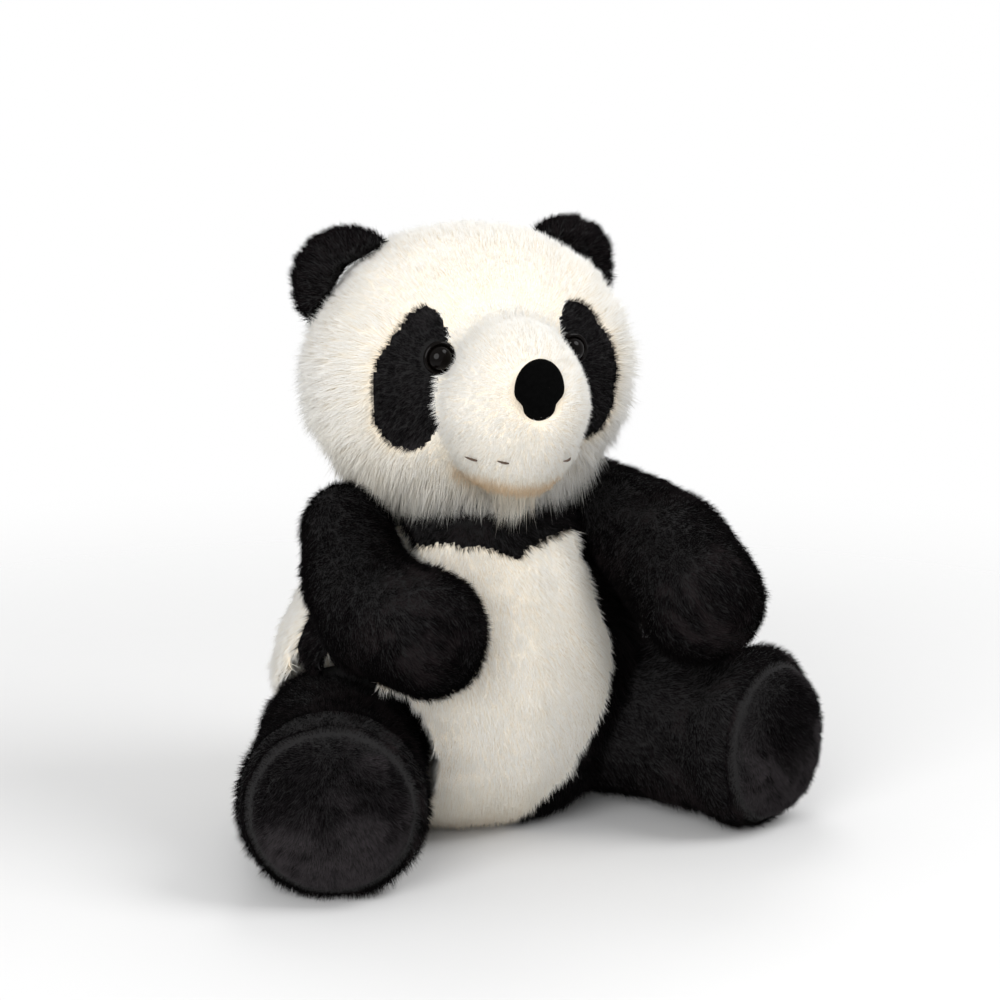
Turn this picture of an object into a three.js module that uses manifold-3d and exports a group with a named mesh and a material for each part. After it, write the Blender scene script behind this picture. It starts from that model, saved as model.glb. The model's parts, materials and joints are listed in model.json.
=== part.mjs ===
// Plush panda, seated, with a sewn head, arms and legs. Millimetres, +Z up, the face towards -Y,
// origin on the ground under the middle of the torso. Left and right are the panda's own.
import * as THREE from "three";
import { mergeVertices } from "three/addons/utils/BufferGeometryUtils.js";
import Module from "manifold-3d";

const wasm = await Module();
wasm.setup();

// Driving dimensions, each its own value.
const skin = 3; // a plush panel: backing cloth and the pile pressed on it
const seamGap = 0.4; // between two panels that meet at a seam
const fillGap = 2; // between a panel and the stuffing behind it
const swingGap = 2.5; // round a sewn joint, where one body turns against another

// Torso, as half widths at heights above the ground.
const seatRadius = 45;
const hemRadius = 72;
const hemHeight = 14;
const bellyRadius = 86;
const bellyHeight = 50;
const waistRadius = 84;
const waistHeight = 86;
const chestRadius = 58;
const chestHeight = 134;
const collarRadius = 36;
const collarHeight = 154;
const torsoHeight = 160;
const torsoDepth = 0.88; // depth as a part of the width
const seatBack = 11; // how far the seat lies behind the origin
const chestLean = 12; // how far the collar leans forward of the seat
const yokeHeight = 138; // black collar panel, at its two front corners
const yokeDip = 7; // how far its edge dips at the breastbone
const sideSeam = 6; // plane of the side seams, behind the origin
const pelletRadius = 40;
const pelletFlat = 32; // radius of the flat top and underside of the pellet bag
const pelletHeight = 26;
const tailRadius = 15;
const tailThick = 21;
const tailHeight = 42;

// Neck and head.
const neckRise = 3; // middle of the neck above the top of the torso
const neckForward = 4;
const neckRadius = 25;
const collarGap = 4; // between the collar and the head, at rest and turned
const headTurn = -8; // degrees, a little towards its right
const headWidth = 148;
const headBack = 62; // half depths, behind the middle of the head and in front of it
const faceReach = 53;
const headHeight = 128;
const headSquare = 2.3; // power of the rounded form, 2 is an ellipsoid
const headRise = 49; // head centre above the neck
const faceSeam = 2; // plane between the face and the back of the head, behind its centre

// Muzzle, measured from the head centre.
const muzzleWidth = 68;
const muzzleLength = 74;
const muzzleHeight = 80;
const muzzleForward = 56;
const muzzleDrop = 10;
const muzzleSquare = 2.1;
const lipDrop = 20; // seam between muzzle and chin, below the muzzle centre
const noseWidth = 22;
const noseHeight = 26;
const noseThick = 9;
const noseSquare = 2.3;
const noseRise = 14; // nose centre above the muzzle centre
const threadRadius = 0.7;
const threadProud = 2.1; // thread in front of the seam that it covers
const mouthWidth = 26;

// Eyes, measured from the head centre.
const eyeSpread = 31;
const eyeRise = 13;
const eyeDome = 5.6;
const domeFoot = 0.9; // where the dome starts to round, above the stem
const domeHeight = 4.5;
const eyeRim = 7.8;
const rimThick = 2.2;
const rimEdge = 1.1; // height of the straight outer edge of the rim
const rimBevel = 0.8;
const eyeLift = 0.6; // how deep the rim sits in the pile
const stemRadius = 2.2;
const stemLength = 11;
const washerRadius = 6.5;
const washerThick = 1.6;
const patchSpread = 42;
const patchRise = 2;
const patchWidth = 29;
const patchHeight = 64;
const patchLean = 8; // degrees, its top towards the middle

// Ears, measured from the head centre.
const earSpread = 52;
const earRise = 38;
const earBack = 15;
const earRadius = 26;
const earThick = 17;
const earSquare = 2.2;
const earTilt = 10; // degrees, turned outwards

// Arms: the middle line runs from the shoulder past the elbow to the paw. Those two are given
// as across and forward of the shoulder, and as heights above the tops of the feet.
const shoulderSpread = 62;
const shoulderHeight = 143;
const shoulderForward = 4;
const armRootRadius = 20;
const armUpperRadius = 24;
const armUpperAt = 0.3; // part of the way from the shoulder to the paw
const armMidRadius = 28;
const armMidAt = 0.6;
const pawRadius = 28;
const pawBlunt = 0.85; // length of the paw's round end as a part of its radius
const elbow = { right: [-12, -30, 19], left: [20, -46, 48] };
const paw = { right: [3, -74, 26], left: [8, -92, 28] };

// Legs: a straight roll from the hip to a round sole.
const hipSpread = 66;
const hipForward = 5;
const footRadius = 43;
const footFlat = 2; // how much the underside is pressed flat
const legRootRadius = 38;
const ankleRadius = 36;
const legLength = 106; // hip to sole
const footStart = 62; // where the leg starts to widen
const legSplay = 28; // degrees from straight ahead
const footRound = 18; // from the widest part of the foot to the sole
const soleRadius = 35;
const soleEdge = 3; // depth of the rounded edge of the sole
const soleBulge = 1;
const soleSeam = 6; // from the sole back to its seam

// How far the sewn joints turn, degrees. The sockets in the torso follow these.
const armSwing = [-2, 15];
const legSwing = [-5, 12];
const turnSwing = [-15, 15];
const nodSwing = [-7, 7];
const sway = 12; // how far the stuffing of the torso keeps back from the limbs and the head

const roundSteps = 15; // sides of a torso or limb section
const headSteps = 16;
const fillSteps = 14; // sides of a stuffing section, which nothing shows
const socketSteps = 12;
const swayRoomSteps = 10;
const smallSteps = 12; // sides of the eyes and the neck
const pileRoughness = 0.95;

const plush = (name, color) =>
  new THREE.MeshStandardMaterial({ name, color, roughness: pileRoughness, metalness: 0 });
const plastic = (name, color, roughness) =>
  new THREE.MeshStandardMaterial({ name, color, roughness, metalness: 0 });
const finish = {
  white: plush("white_plush", 0xf4efe6),
  black: plush("black_plush", 0x14110f),
  fill: plush("polyester_fill", 0xf7f7f5),
  bag: plush("pellet_bag_cloth", 0xd8d4c8),
  eye: plastic("eye_plastic", 0x0b0808, 0.08),
  washer: plastic("washer_plastic", 0xe8e8e4, 0.5),
  nose: plastic("nose_flock", 0x060606, 0.95),
  thread: plastic("mouth_thread", 0x3a2a20, 0.8),
};

// A closed geometry as a solid: shared corners are merged and faces without area left out.
function solidOf(geometry) {
  const bare = geometry.clone();
  bare.deleteAttribute("normal");
  bare.deleteAttribute("uv");
  const merged = mergeVertices(bare, 1e-3);
  const index = merged.index.array;
  const faces = [];
  for (let i = 0; i < index.length; i += 3) {
    const [a, b, c] = [index[i], index[i + 1], index[i + 2]];
    if (a !== b && b !== c && c !== a) faces.push(a, b, c);
  }
  return new wasm.Manifold(
    new wasm.Mesh({
      numProp: 3,
      vertProperties: new Float32Array(merged.attributes.position.array),
      triVerts: new Uint32Array(faces),
    }),
  );
}

function geometryOf(solid) {
  const mesh = solid.getMesh();
  const places = new Float32Array(mesh.numVert * 3);
  for (let i = 0; i < mesh.numVert; i++) {
    const start = i * mesh.numProp;
    places.set(mesh.vertProperties.subarray(start, start + 3), i * 3);
  }
  const geometry = new THREE.BufferGeometry();
  geometry.setAttribute("position", new THREE.BufferAttribute(places, 3));
  geometry.setIndex(new THREE.BufferAttribute(mesh.triVerts, 1));
  geometry.computeVertexNormals();
  return geometry;
}

// Moves every corner of a geometry by a rule.
function reshape(geometry, rule) {
  const places = geometry.attributes.position;
  const point = new THREE.Vector3();
  for (let i = 0; i < places.count; i++) {
    point.fromBufferAttribute(places, i);
    rule(point);
    places.setXYZ(i, point.x, point.y, point.z);
  }
  return geometry;
}

// A rounded box form: |x|^n + |y|^n + |z|^n = 1, stretched to three half sizes.
function pillow(half, power, steps) {
  const geometry = new THREE.SphereGeometry(1, steps, Math.round(steps * 0.6));
  return reshape(geometry, (p) => {
    const sum = Math.abs(p.x) ** power + Math.abs(p.y) ** power + Math.abs(p.z) ** power;
    p.multiplyScalar(sum ** (-1 / power)).multiply(half);
  });
}

// A profile of half widths along the axis, moved inwards by an inset along its own normal.
function insetProfile(points, inset) {
  const last = points.length - 1;
  return points.map((p, i) => {
    const along = points[Math.min(i + 1, last)].clone().sub(points[Math.max(i - 1, 0)]).normalize();
    const moved = new THREE.Vector2(p.x - along.y * inset, p.y + along.x * inset);
    if (p.x === 0) moved.x = 0;
    return moved;
  });
}

const placed = (geometry, matrix) => geometry.clone().applyMatrix4(matrix);
const shifted = (geometry, x, y, z) => geometry.clone().translate(x, y, z);
const radians = THREE.MathUtils.degToRad;

// A block that covers all of one side of a plane, to split a shell with.
const reach = 400;
const blockAbove = (axis, from) => {
  const centre = new THREE.Vector3();
  centre.setComponent(axis, from + reach / 2);
  return shifted(new THREE.BoxGeometry(reach, reach, reach), centre.x, centre.y, centre.z);
};
const blockBelow = (axis, to) => {
  const centre = new THREE.Vector3();
  centre.setComponent(axis, to - reach / 2);
  return shifted(new THREE.BoxGeometry(reach, reach, reach), centre.x, centre.y, centre.z);
};
const [alongX, alongY, alongZ] = [0, 1, 2];

// What lines up with more than one piece.
const neckHeight = torsoHeight + neckRise;
const hipHeight = footRadius - footFlat;
const legTop = hipHeight + footRadius;
const armPoint = ([across, forward, rise]) =>
  new THREE.Vector3(across, forward, legTop + rise - shoulderHeight);

const panda = new THREE.Group();
const bodies = {};
function bodyGroup(name, x, y, z, turn) {
  const group = new THREE.Group();
  group.position.set(x, y, z);
  group.rotation.z = radians(turn);
  group.updateMatrix();
  panda.add(group);
  bodies[name] = group;
  return group;
}
function addPiece(group, name, solid, material) {
  const mesh = new THREE.Mesh(geometryOf(solid), material);
  mesh.name = name;
  group.add(mesh);
  return mesh;
}

bodyGroup("torso", 0, 0, 0, 0);
bodyGroup("head", 0, -neckForward, neckHeight, headTurn);

// Every place that a form takes while its joint turns, so that a socket can be cut for it.
function swept(geometry, group, axis, swing) {
  let all = null;
  for (const part of [0, 0.5, 1]) {
    const angle = radians(THREE.MathUtils.lerp(swing[0], swing[1], part));
    const turned = placed(geometry, new THREE.Matrix4().makeRotationAxis(axis, angle));
    const solid = solidOf(placed(turned, group.matrix));
    all = all ? all.add(solid) : solid;
  }
  return all;
}

// Torso form: a turned profile, flattened in depth and leaning forward towards the collar.
function torsoForm(inset, steps) {
  const side = new THREE.SplineCurve([
    new THREE.Vector2(seatRadius, 0),
    new THREE.Vector2(hemRadius, hemHeight),
    new THREE.Vector2(bellyRadius, bellyHeight),
    new THREE.Vector2(waistRadius, waistHeight),
    new THREE.Vector2(chestRadius, chestHeight),
    new THREE.Vector2(collarRadius, collarHeight),
    new THREE.Vector2(0, torsoHeight),
  ]).getPoints(12);
  const outline = [new THREE.Vector2(0, 0), ...side];
  const inner = insetProfile(outline, inset);
  if (inset > 0) {
    inner[0].y = inset;
    inner[1].y = inset;
  }
  const geometry = new THREE.LatheGeometry(inner, steps);
  return reshape(geometry, (p) => {
    const [across, up, back] = [p.x, p.y, p.z];
    const lean = seatBack - chestLean * (up / torsoHeight) ** 2;
    p.set(across, -back * torsoDepth + lean, up);
  });
}

// Arm form: round sections along a middle line that bends once, with a round end at the
// shoulder and at the paw.
function armForm(side, inset, steps) {
  const start = new THREE.Vector3();
  const bend = armPoint(elbow[side]);
  const end = armPoint(paw[side]);
  const line = new THREE.QuadraticBezierCurve3(start, bend, end);
  const length = line.getLength();
  const flatWay = bend.clone().cross(end).normalize();
  const profile = [];
  const capSteps = 4;
  for (let i = 0; i <= capSteps; i++) {
    const turn = (Math.PI / 2) * (i / capSteps);
    const radius = armRootRadius - inset;
    profile.push(new THREE.Vector2(radius * Math.sin(turn), -radius * Math.cos(turn)));
  }
  profile.push(new THREE.Vector2(armUpperRadius - inset, length * armUpperAt));
  profile.push(new THREE.Vector2(armMidRadius - inset, length * armMidAt));
  for (let i = 0; i <= capSteps; i++) {
    const turn = (Math.PI / 2) * (i / capSteps);
    const radius = pawRadius - inset;
    const past = radius * pawBlunt * Math.sin(turn);
    profile.push(new THREE.Vector2(radius * Math.cos(turn), length + past));
  }
  profile[0].x = 0;
  profile[profile.length - 1].x = 0;
  const geometry = new THREE.LatheGeometry(profile, steps);
  return reshape(geometry, (p) => {
    const part = THREE.MathUtils.clamp(p.y / length, 0, 1);
    const over = p.y - part * length;
    const forward = line.getTangentAt(part);
    const across = flatWay.clone().cross(forward);
    const centre = line.getPointAt(part).addScaledVector(forward, over);
    const [a, b] = [p.x, p.z];
    p.copy(centre).addScaledVector(across, -a).addScaledVector(flatWay, b);
  });
}

// Leg form: a turned roll along -Y with a ball at the hip, an ankle and a wide round foot,
// pressed flat below.
function legForm(inset, steps) {
  const root = [];
  const ballSteps = 5;
  for (let i = 0; i <= ballSteps; i++) {
    const turn = (Math.PI / 2) * (i / ballSteps);
    root.push(new THREE.Vector2(legRootRadius * Math.sin(turn), legRootRadius * Math.cos(turn)));
  }
  root[0].x = 0;
  const roll = new THREE.SplineCurve([
    root[ballSteps],
    new THREE.Vector2(ankleRadius, -footStart),
    new THREE.Vector2(footRadius, footRound - legLength),
    new THREE.Vector2(soleRadius, soleEdge - legLength),
    new THREE.Vector2(soleRadius / 2, -legLength),
    new THREE.Vector2(0, -legLength - soleBulge),
  ]).getPoints(8);
  const outline = [...root, ...roll.slice(1)].map((p) => new THREE.Vector2(p.x, -p.y));
  outline[outline.length - 1].x = 0;
  const geometry = new THREE.LatheGeometry(insetProfile(outline, inset), steps);
  const floor = inset - hipHeight;
  return reshape(geometry, (p) => {
    p.set(-p.x, -p.y, Math.max(floor, p.z));
  });
}

function headForm(inset, steps) {
  const half = new THREE.Vector3(headWidth / 2, faceReach, headHeight / 2).subScalar(inset);
  const fuller = (headBack - inset) / half.y;
  const form = reshape(pillow(half, headSquare, steps), (p) => {
    if (p.y > 0) p.y *= fuller;
  });
  return form.translate(0, 0, headRise);
}
const muzzleForm = (inset, steps) =>
  shifted(
    pillow(
      new THREE.Vector3(muzzleWidth, muzzleLength, muzzleHeight).divideScalar(2).subScalar(inset),
      muzzleSquare,
      steps,
    ),
    0,
    -muzzleForward,
    headRise - muzzleDrop,
  );

// How far the face stands in front of the head's centre at a point across and above it.
function faceDepth(across, rise) {
  const [a, b] = [Math.abs(across) / (headWidth / 2), Math.abs(rise) / (headHeight / 2)];
  return faceReach * (1 - a ** headSquare - b ** headSquare) ** (1 / headSquare);
}

// The direction that the face looks at a point of its surface.
function faceNormal(across, rise) {
  const depth = faceDepth(across, rise);
  const slope = (value, half) =>
    (Math.sign(value) * (Math.abs(value) / half) ** (headSquare - 1)) / half;
  return new THREE.Vector3(
    slope(across, headWidth / 2),
    slope(-depth, faceReach),
    slope(rise, headHeight / 2),
  ).normalize();
}

const { torso, head } = bodies;
const sides = ["left", "right"];
const signOf = { left: 1, right: -1 };
const limbs = {};
for (const side of sides) {
  const sign = signOf[side];
  const shoulder = [sign * shoulderSpread, -shoulderForward, shoulderHeight];
  const hip = [sign * hipSpread, -hipForward, hipHeight];
  const armGroup = bodyGroup("arm_" + side, ...shoulder, 0);
  const legGroup = bodyGroup("leg_" + side, ...hip, sign * legSplay);
  limbs[side] = { armGroup, legGroup };
}

// Sockets: the room that each sewn joint needs in the torso.
const raiseAxis = new THREE.Vector3(-1, 0, 0);
const upAxis = new THREE.Vector3(0, 0, 1);
const neckBall = (radius) => new THREE.SphereGeometry(radius, smallSteps, 8);
const neckRoom = neckBall(neckRadius + swingGap);
let sockets = solidOf(placed(neckRoom, head.matrix));
for (const side of sides) {
  const { armGroup, legGroup } = limbs[side];
  sockets = sockets.add(swept(armForm(side, -swingGap, socketSteps), armGroup, raiseAxis, armSwing));
  const legTurn = signOf[side] > 0 ? legSwing : [-legSwing[1], -legSwing[0]];
  sockets = sockets.add(swept(legForm(-swingGap, socketSteps), legGroup, upAxis, legTurn));
}
for (const nod of [nodSwing[0], 0, nodSwing[1]]) {
  const tip = new THREE.Matrix4().makeRotationX(radians(nod));
  const nodded = placed(headForm(-collarGap, socketSteps), tip);
  sockets = sockets.add(swept(nodded, head, upAxis, turnSwing));
}

// The stuffing keeps further back from the joints, by the most that a limb's root sways.
const room = (geometry, group) => solidOf(placed(geometry, group.matrix));
let fillSockets = room(headForm(-sway, fillSteps), head).add(room(neckRoom, head));
for (const side of sides) {
  const { armGroup, legGroup } = limbs[side];
  fillSockets = fillSockets.add(room(armForm(side, -sway, swayRoomSteps), armGroup));
  fillSockets = fillSockets.add(room(legForm(-sway, swayRoomSteps), legGroup));
}

// Torso panels: a shell round the stuffing, split into yoke, belly and back.
const torsoOuter = solidOf(torsoForm(0, roundSteps));
const torsoInner = solidOf(torsoForm(skin, roundSteps));
const torsoShell = torsoOuter.subtract(torsoInner).subtract(sockets);
const neckline = new THREE.Shape();
const [yokeLow, yokeTop] = [yokeHeight - yokeDip, yokeHeight + yokeDip];
neckline.moveTo(-reach / 2, yokeLow);
neckline.lineTo(-chestRadius, yokeLow);
neckline.quadraticCurveTo(-chestRadius / 2, yokeTop, 0, yokeLow);
neckline.quadraticCurveTo(chestRadius / 2, yokeTop, chestRadius, yokeLow);
neckline.lineTo(reach / 2, yokeLow);
neckline.lineTo(reach / 2, reach / 2);
neckline.lineTo(-reach / 2, reach / 2);
neckline.closePath();
const yokeBlock = new THREE.ExtrudeGeometry(neckline, {
  depth: reach,
  bevelEnabled: false,
  curveSegments: 6,
});
yokeBlock.rotateX(Math.PI / 2).translate(0, reach / 2, 0);
const yokeRegion = solidOf(yokeBlock);
const belowYoke = torsoShell.subtract(solidOf(shifted(yokeBlock, 0, 0, -seamGap)));
const largest = (solid) => solid.decompose().sort((a, b) => b.volume() - a.volume())[0];
addPiece(torso, "chest_yoke", largest(torsoShell.intersect(yokeRegion)), finish.black);
const bellySide = solidOf(blockBelow(alongY, sideSeam));
const backSide = solidOf(blockAbove(alongY, sideSeam + seamGap));
addPiece(torso, "belly_panel", largest(belowYoke.intersect(bellySide)), finish.white);

// Tail: a small stuffed pad sewn low on the back.
const tailPlace = new THREE.Vector3(0, seatBack + bellyRadius * torsoDepth, tailHeight);
const tailForm = (grow) =>
  shifted(
    pillow(new THREE.Vector3(tailRadius, tailThick / 2, tailRadius).addScalar(grow), 2, fillSteps),
    tailPlace.x,
    tailPlace.y,
    tailPlace.z,
  );
const tailRoom = solidOf(tailForm(seamGap));
const backPanel = belowYoke.intersect(backSide).subtract(tailRoom);
addPiece(torso, "back_panel", largest(backPanel), finish.white);
addPiece(torso, "tail", solidOf(tailForm(0)).subtract(torsoInner), finish.white);

// Weighted bag in the seat, and the stuffing above and round it.
const bagRound = new THREE.LatheGeometry(
  [
    new THREE.Vector2(0, 0),
    new THREE.Vector2(pelletFlat, 0),
    new THREE.Vector2(pelletRadius, pelletHeight / 2),
    new THREE.Vector2(pelletFlat, pelletHeight),
    new THREE.Vector2(0, pelletHeight),
  ],
  16,
);
const bagForm = (grow) =>
  reshape(bagRound.clone(), (p) => {
    const [across, up, back] = [p.x, p.y, p.z];
    const stretch = 1 + grow / pelletRadius;
    const lift = skin + fillGap + (up > 0 ? up + grow : -grow);
    p.set(across * stretch, -back * stretch * torsoDepth + seatBack, lift);
  });
addPiece(torso, "pellet_bag", solidOf(bagForm(0)).subtract(fillSockets), finish.bag);
const fillRoom = solidOf(torsoForm(skin + fillGap, fillSteps)).subtract(fillSockets);
const torsoFill = fillRoom.subtract(solidOf(bagForm(fillGap))).subtract(tailRoom);
addPiece(torso, "torso_stuffing", largest(torsoFill), finish.fill);

// Neck: a firm ball of stuffing between collar and head, on which the head turns and nods.
addPiece(head, "neck_stuffing", solidOf(neckBall(neckRadius)), finish.fill);

// Head shell with its muzzle, split into panels. Cutters are made in the head's own frame.
const headOuter = solidOf(headForm(0, headSteps)).add(solidOf(muzzleForm(0, roundSteps)));
const headInner = solidOf(headForm(skin, headSteps)).add(solidOf(muzzleForm(skin, roundSteps)));

function eyePlace(side, lift) {
  const across = signOf[side] * eyeSpread;
  const normal = faceNormal(across, eyeRise);
  const seat = new THREE.Vector3(across, -faceDepth(across, eyeRise), headRise + eyeRise);
  const turn = new THREE.Quaternion().setFromUnitVectors(new THREE.Vector3(0, 1, 0), normal);
  const place = seat.addScaledVector(normal, lift);
  return new THREE.Matrix4().compose(place, turn, new THREE.Vector3(1, 1, 1));
}
const turned = (points) => {
  const profile = points.map(([r, y]) => new THREE.Vector2(r, y));
  return new THREE.LatheGeometry(profile, smallSteps);
};

// An eye is a dome on a stem, seen through a rim, and locked by a washer behind the cloth.
const domeArc = [0, 1, 2, 3].map((i) => {
  const turn = (Math.PI / 2) * (i / 3);
  return [eyeDome * Math.cos(turn), domeFoot + domeHeight * Math.sin(turn)];
});
const washerTop = -(skin + fillGap);
const eyeForm = turned([
  [0, -stemLength],
  [stemRadius, -stemLength],
  [stemRadius, 0],
  [eyeDome, 0],
  ...domeArc.slice(0, 3),
  [0, domeArc[3][1]],
]);
const rimForm = turned([
  [eyeDome + seamGap, 0],
  [eyeRim, 0],
  [eyeRim, rimEdge],
  [eyeRim - rimBevel, rimThick],
  [eyeDome + seamGap, rimThick],
  [eyeDome + seamGap, 0],
]);
const washerForm = turned([
  [stemRadius + seamGap, washerTop - washerThick],
  [washerRadius, washerTop - washerThick],
  [washerRadius, washerTop],
  [stemRadius + seamGap, washerTop],
  [stemRadius + seamGap, washerTop - washerThick],
]);
const seatRoom = turned([
  [0, -stemLength - seamGap],
  [washerRadius + seamGap, -stemLength - seamGap],
  [washerRadius + seamGap, washerTop + seamGap],
  [stemRadius + seamGap, washerTop + seamGap],
  [stemRadius + seamGap, -seamGap],
  [eyeRim + seamGap, -seamGap],
  [eyeRim + seamGap, eyeRim],
  [0, eyeRim],
]);
let eyeRooms = null;
for (const side of sides) {
  const seat = eyePlace(side, -eyeLift);
  const eyeRoom = solidOf(placed(seatRoom, seat));
  eyeRooms = eyeRooms ? eyeRooms.add(eyeRoom) : eyeRoom;
  addPiece(head, "eye_" + side, solidOf(placed(eyeForm, seat)), finish.eye);
  addPiece(head, "eye_rim_" + side, solidOf(placed(rimForm, seat)), finish.eye);
  addPiece(head, "eye_washer_" + side, solidOf(placed(washerForm, seat)), finish.washer);
}

// Nose: a flocked pad let into the front of the muzzle.
const noseCentre = new THREE.Vector3(0, 0, headRise - muzzleDrop + noseRise);
const noseReach = Math.sqrt(1 - (noseRise / (muzzleHeight / 2)) ** 2);
noseCentre.y = -muzzleForward - (muzzleLength / 2) * noseReach;
const noseForm = (grow) =>
  shifted(
    pillow(
      new THREE.Vector3(noseWidth, noseThick, noseHeight).divideScalar(2).addScalar(grow),
      noseSquare,
      fillSteps,
    ),
    noseCentre.x,
    noseCentre.y,
    noseCentre.z,
  );
addPiece(head, "nose", solidOf(noseForm(0)), finish.nose);
const noseRoom = solidOf(noseForm(seamGap));

// Ears: two thick leaves each, standing on the corners of the head.
const earMatrix = (side) => {
  const sign = signOf[side];
  const turn = new THREE.Matrix4().makeRotationZ(radians(sign * earTilt));
  return turn.setPosition(sign * earSpread, earBack, headRise + earRise);
};
const earSolid = (side, grow) =>
  solidOf(
    placed(
      pillow(
        new THREE.Vector3(earRadius, earThick / 2, earRadius).addScalar(grow),
        earSquare,
        fillSteps,
      ),
      earMatrix(side),
    ),
  );
const headRoom = solidOf(headForm(-seamGap, headSteps));
for (const side of sides) {
  const leafPlane = (from, facing) => solidOf(placed(facing(alongY, from), earMatrix(side)));
  const whole = earSolid(side, 0).subtract(headRoom);
  const front = leafPlane(-seamGap / 2, blockBelow);
  const back = leafPlane(seamGap / 2, blockAbove);
  addPiece(head, "ear_front_" + side, largest(whole.intersect(front)), finish.black);
  addPiece(head, "ear_back_" + side, largest(whole.intersect(back)), finish.black);
}

// Eye patches: leaning ovals let into the face.
function patchBlock(side, grow) {
  const sign = signOf[side];
  const oval = new THREE.Shape();
  const [halfWide, halfTall] = [patchWidth / 2 + grow, patchHeight / 2 + grow];
  oval.absellipse(0, 0, halfWide, halfTall, 0, 2 * Math.PI, false, radians(sign * patchLean));
  const block = new THREE.ExtrudeGeometry(oval, {
    depth: reach,
    bevelEnabled: false,
    curveSegments: 7,
  });
  block.rotateX(Math.PI / 2).translate(sign * patchSpread, 0, headRise + patchRise);
  return solidOf(block);
}
const headRooms = solidOf(neckRoom).add(eyeRooms).add(noseRoom);
const shell = headOuter.subtract(headInner).subtract(headRooms);
const frontHalf = solidOf(blockBelow(alongY, faceSeam));
const backHalf = solidOf(blockAbove(alongY, faceSeam + seamGap));
const muzzleReach = solidOf(muzzleForm(-seamGap, roundSteps));
const muzzleCore = solidOf(muzzleForm(0, roundSteps)).subtract(solidOf(headForm(0, headSteps)));
let faceShell = shell.intersect(frontHalf).subtract(muzzleReach);
for (const side of sides) {
  const patch = faceShell.intersect(patchBlock(side, 0));
  addPiece(head, "eye_patch_" + side, largest(patch), finish.black);
}
for (const side of sides) faceShell = faceShell.subtract(patchBlock(side, seamGap));
addPiece(head, "face_panel", largest(faceShell), finish.white);
addPiece(head, "head_back_panel", largest(shell.intersect(backHalf)), finish.white);
const lipRise = headRise - muzzleDrop - lipDrop;
const muzzleShell = shell.intersect(muzzleCore);
const aboveLip = solidOf(blockAbove(alongZ, lipRise + seamGap / 2));
const belowLip = solidOf(blockBelow(alongZ, lipRise - seamGap / 2));
addPiece(head, "muzzle_panel", largest(muzzleShell.intersect(aboveLip)), finish.white);
addPiece(head, "chin_panel", largest(muzzleShell.intersect(belowLip)), finish.white);
const headFillForm = solidOf(headForm(skin + fillGap, fillSteps + 2)).add(
  solidOf(muzzleForm(skin + fillGap, fillSteps)),
);
addPiece(head, "head_stuffing", largest(headFillForm.subtract(headRooms)), finish.fill);

// Mouth: one thread laid across the front of the muzzle at the lip seam.
const lipHalf = Math.sqrt(1 - (lipDrop / (muzzleHeight / 2)) ** 2);
const lipPoints = [-1, -0.5, 0, 0.5, 1].map((part) => {
  const across = (mouthWidth / 2) * part;
  const deep = (muzzleLength / 2) * Math.sqrt(lipHalf ** 2 - (across / (muzzleWidth / 2)) ** 2);
  return new THREE.Vector3(across, -muzzleForward - deep - threadProud, lipRise);
});
const threadRound = new THREE.Shape().absarc(0, 0, threadRadius, 0, 2 * Math.PI, false);
const thread = new THREE.ExtrudeGeometry(threadRound, {
  steps: 10,
  curveSegments: 4,
  bevelEnabled: false,
  extrudePath: new THREE.CatmullRomCurve3(lipPoints),
});
addPiece(head, "mouth_thread", solidOf(thread), finish.thread);

// Arms: an outer and an inner panel round the stuffing, split along the plane of the bend.
for (const side of sides) {
  const { armGroup, legGroup } = limbs[side];
  const sign = signOf[side];
  const armOuter = solidOf(armForm(side, 0, roundSteps));
  const armShell = armOuter.subtract(solidOf(armForm(side, skin, roundSteps)));
  const normal = armPoint(elbow[side]).cross(armPoint(paw[side])).normalize();
  if (normal.x * sign < 0) normal.negate();
  const splitTurn = new THREE.Quaternion().setFromUnitVectors(new THREE.Vector3(1, 0, 0), normal);
  const split = new THREE.Matrix4().makeRotationFromQuaternion(splitTurn);
  const outer = solidOf(placed(blockAbove(alongX, seamGap / 2), split));
  const inner = solidOf(placed(blockBelow(alongX, -seamGap / 2), split));
  addPiece(armGroup, "arm_outer_" + side, armShell.intersect(outer), finish.black);
  addPiece(armGroup, "arm_inner_" + side, armShell.intersect(inner), finish.black);
  const armFill = solidOf(armForm(side, skin + fillGap, fillSteps));
  addPiece(armGroup, "arm_stuffing_" + side, armFill, finish.fill);

  // Legs: an upper and a lower panel, a round sole and the stuffing.
  const legShell = solidOf(legForm(0, roundSteps)).subtract(solidOf(legForm(skin, roundSteps)));
  const seamAt = soleSeam - legLength;
  const sleeve = legShell.intersect(solidOf(blockAbove(alongY, seamAt + seamGap)));
  const upper = sleeve.intersect(solidOf(blockAbove(alongZ, seamGap / 2)));
  const lower = sleeve.intersect(solidOf(blockBelow(alongZ, -seamGap / 2)));
  const sole = legShell.intersect(solidOf(blockBelow(alongY, seamAt)));
  const legFill = solidOf(legForm(skin + fillGap, fillSteps));
  addPiece(legGroup, "leg_upper_" + side, upper, finish.black);
  addPiece(legGroup, "leg_lower_" + side, lower, finish.black);
  addPiece(legGroup, "foot_sole_" + side, sole, finish.black);
  addPiece(legGroup, "leg_stuffing_" + side, legFill, finish.fill);
}

export default panda;
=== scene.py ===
import json
import math

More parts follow.
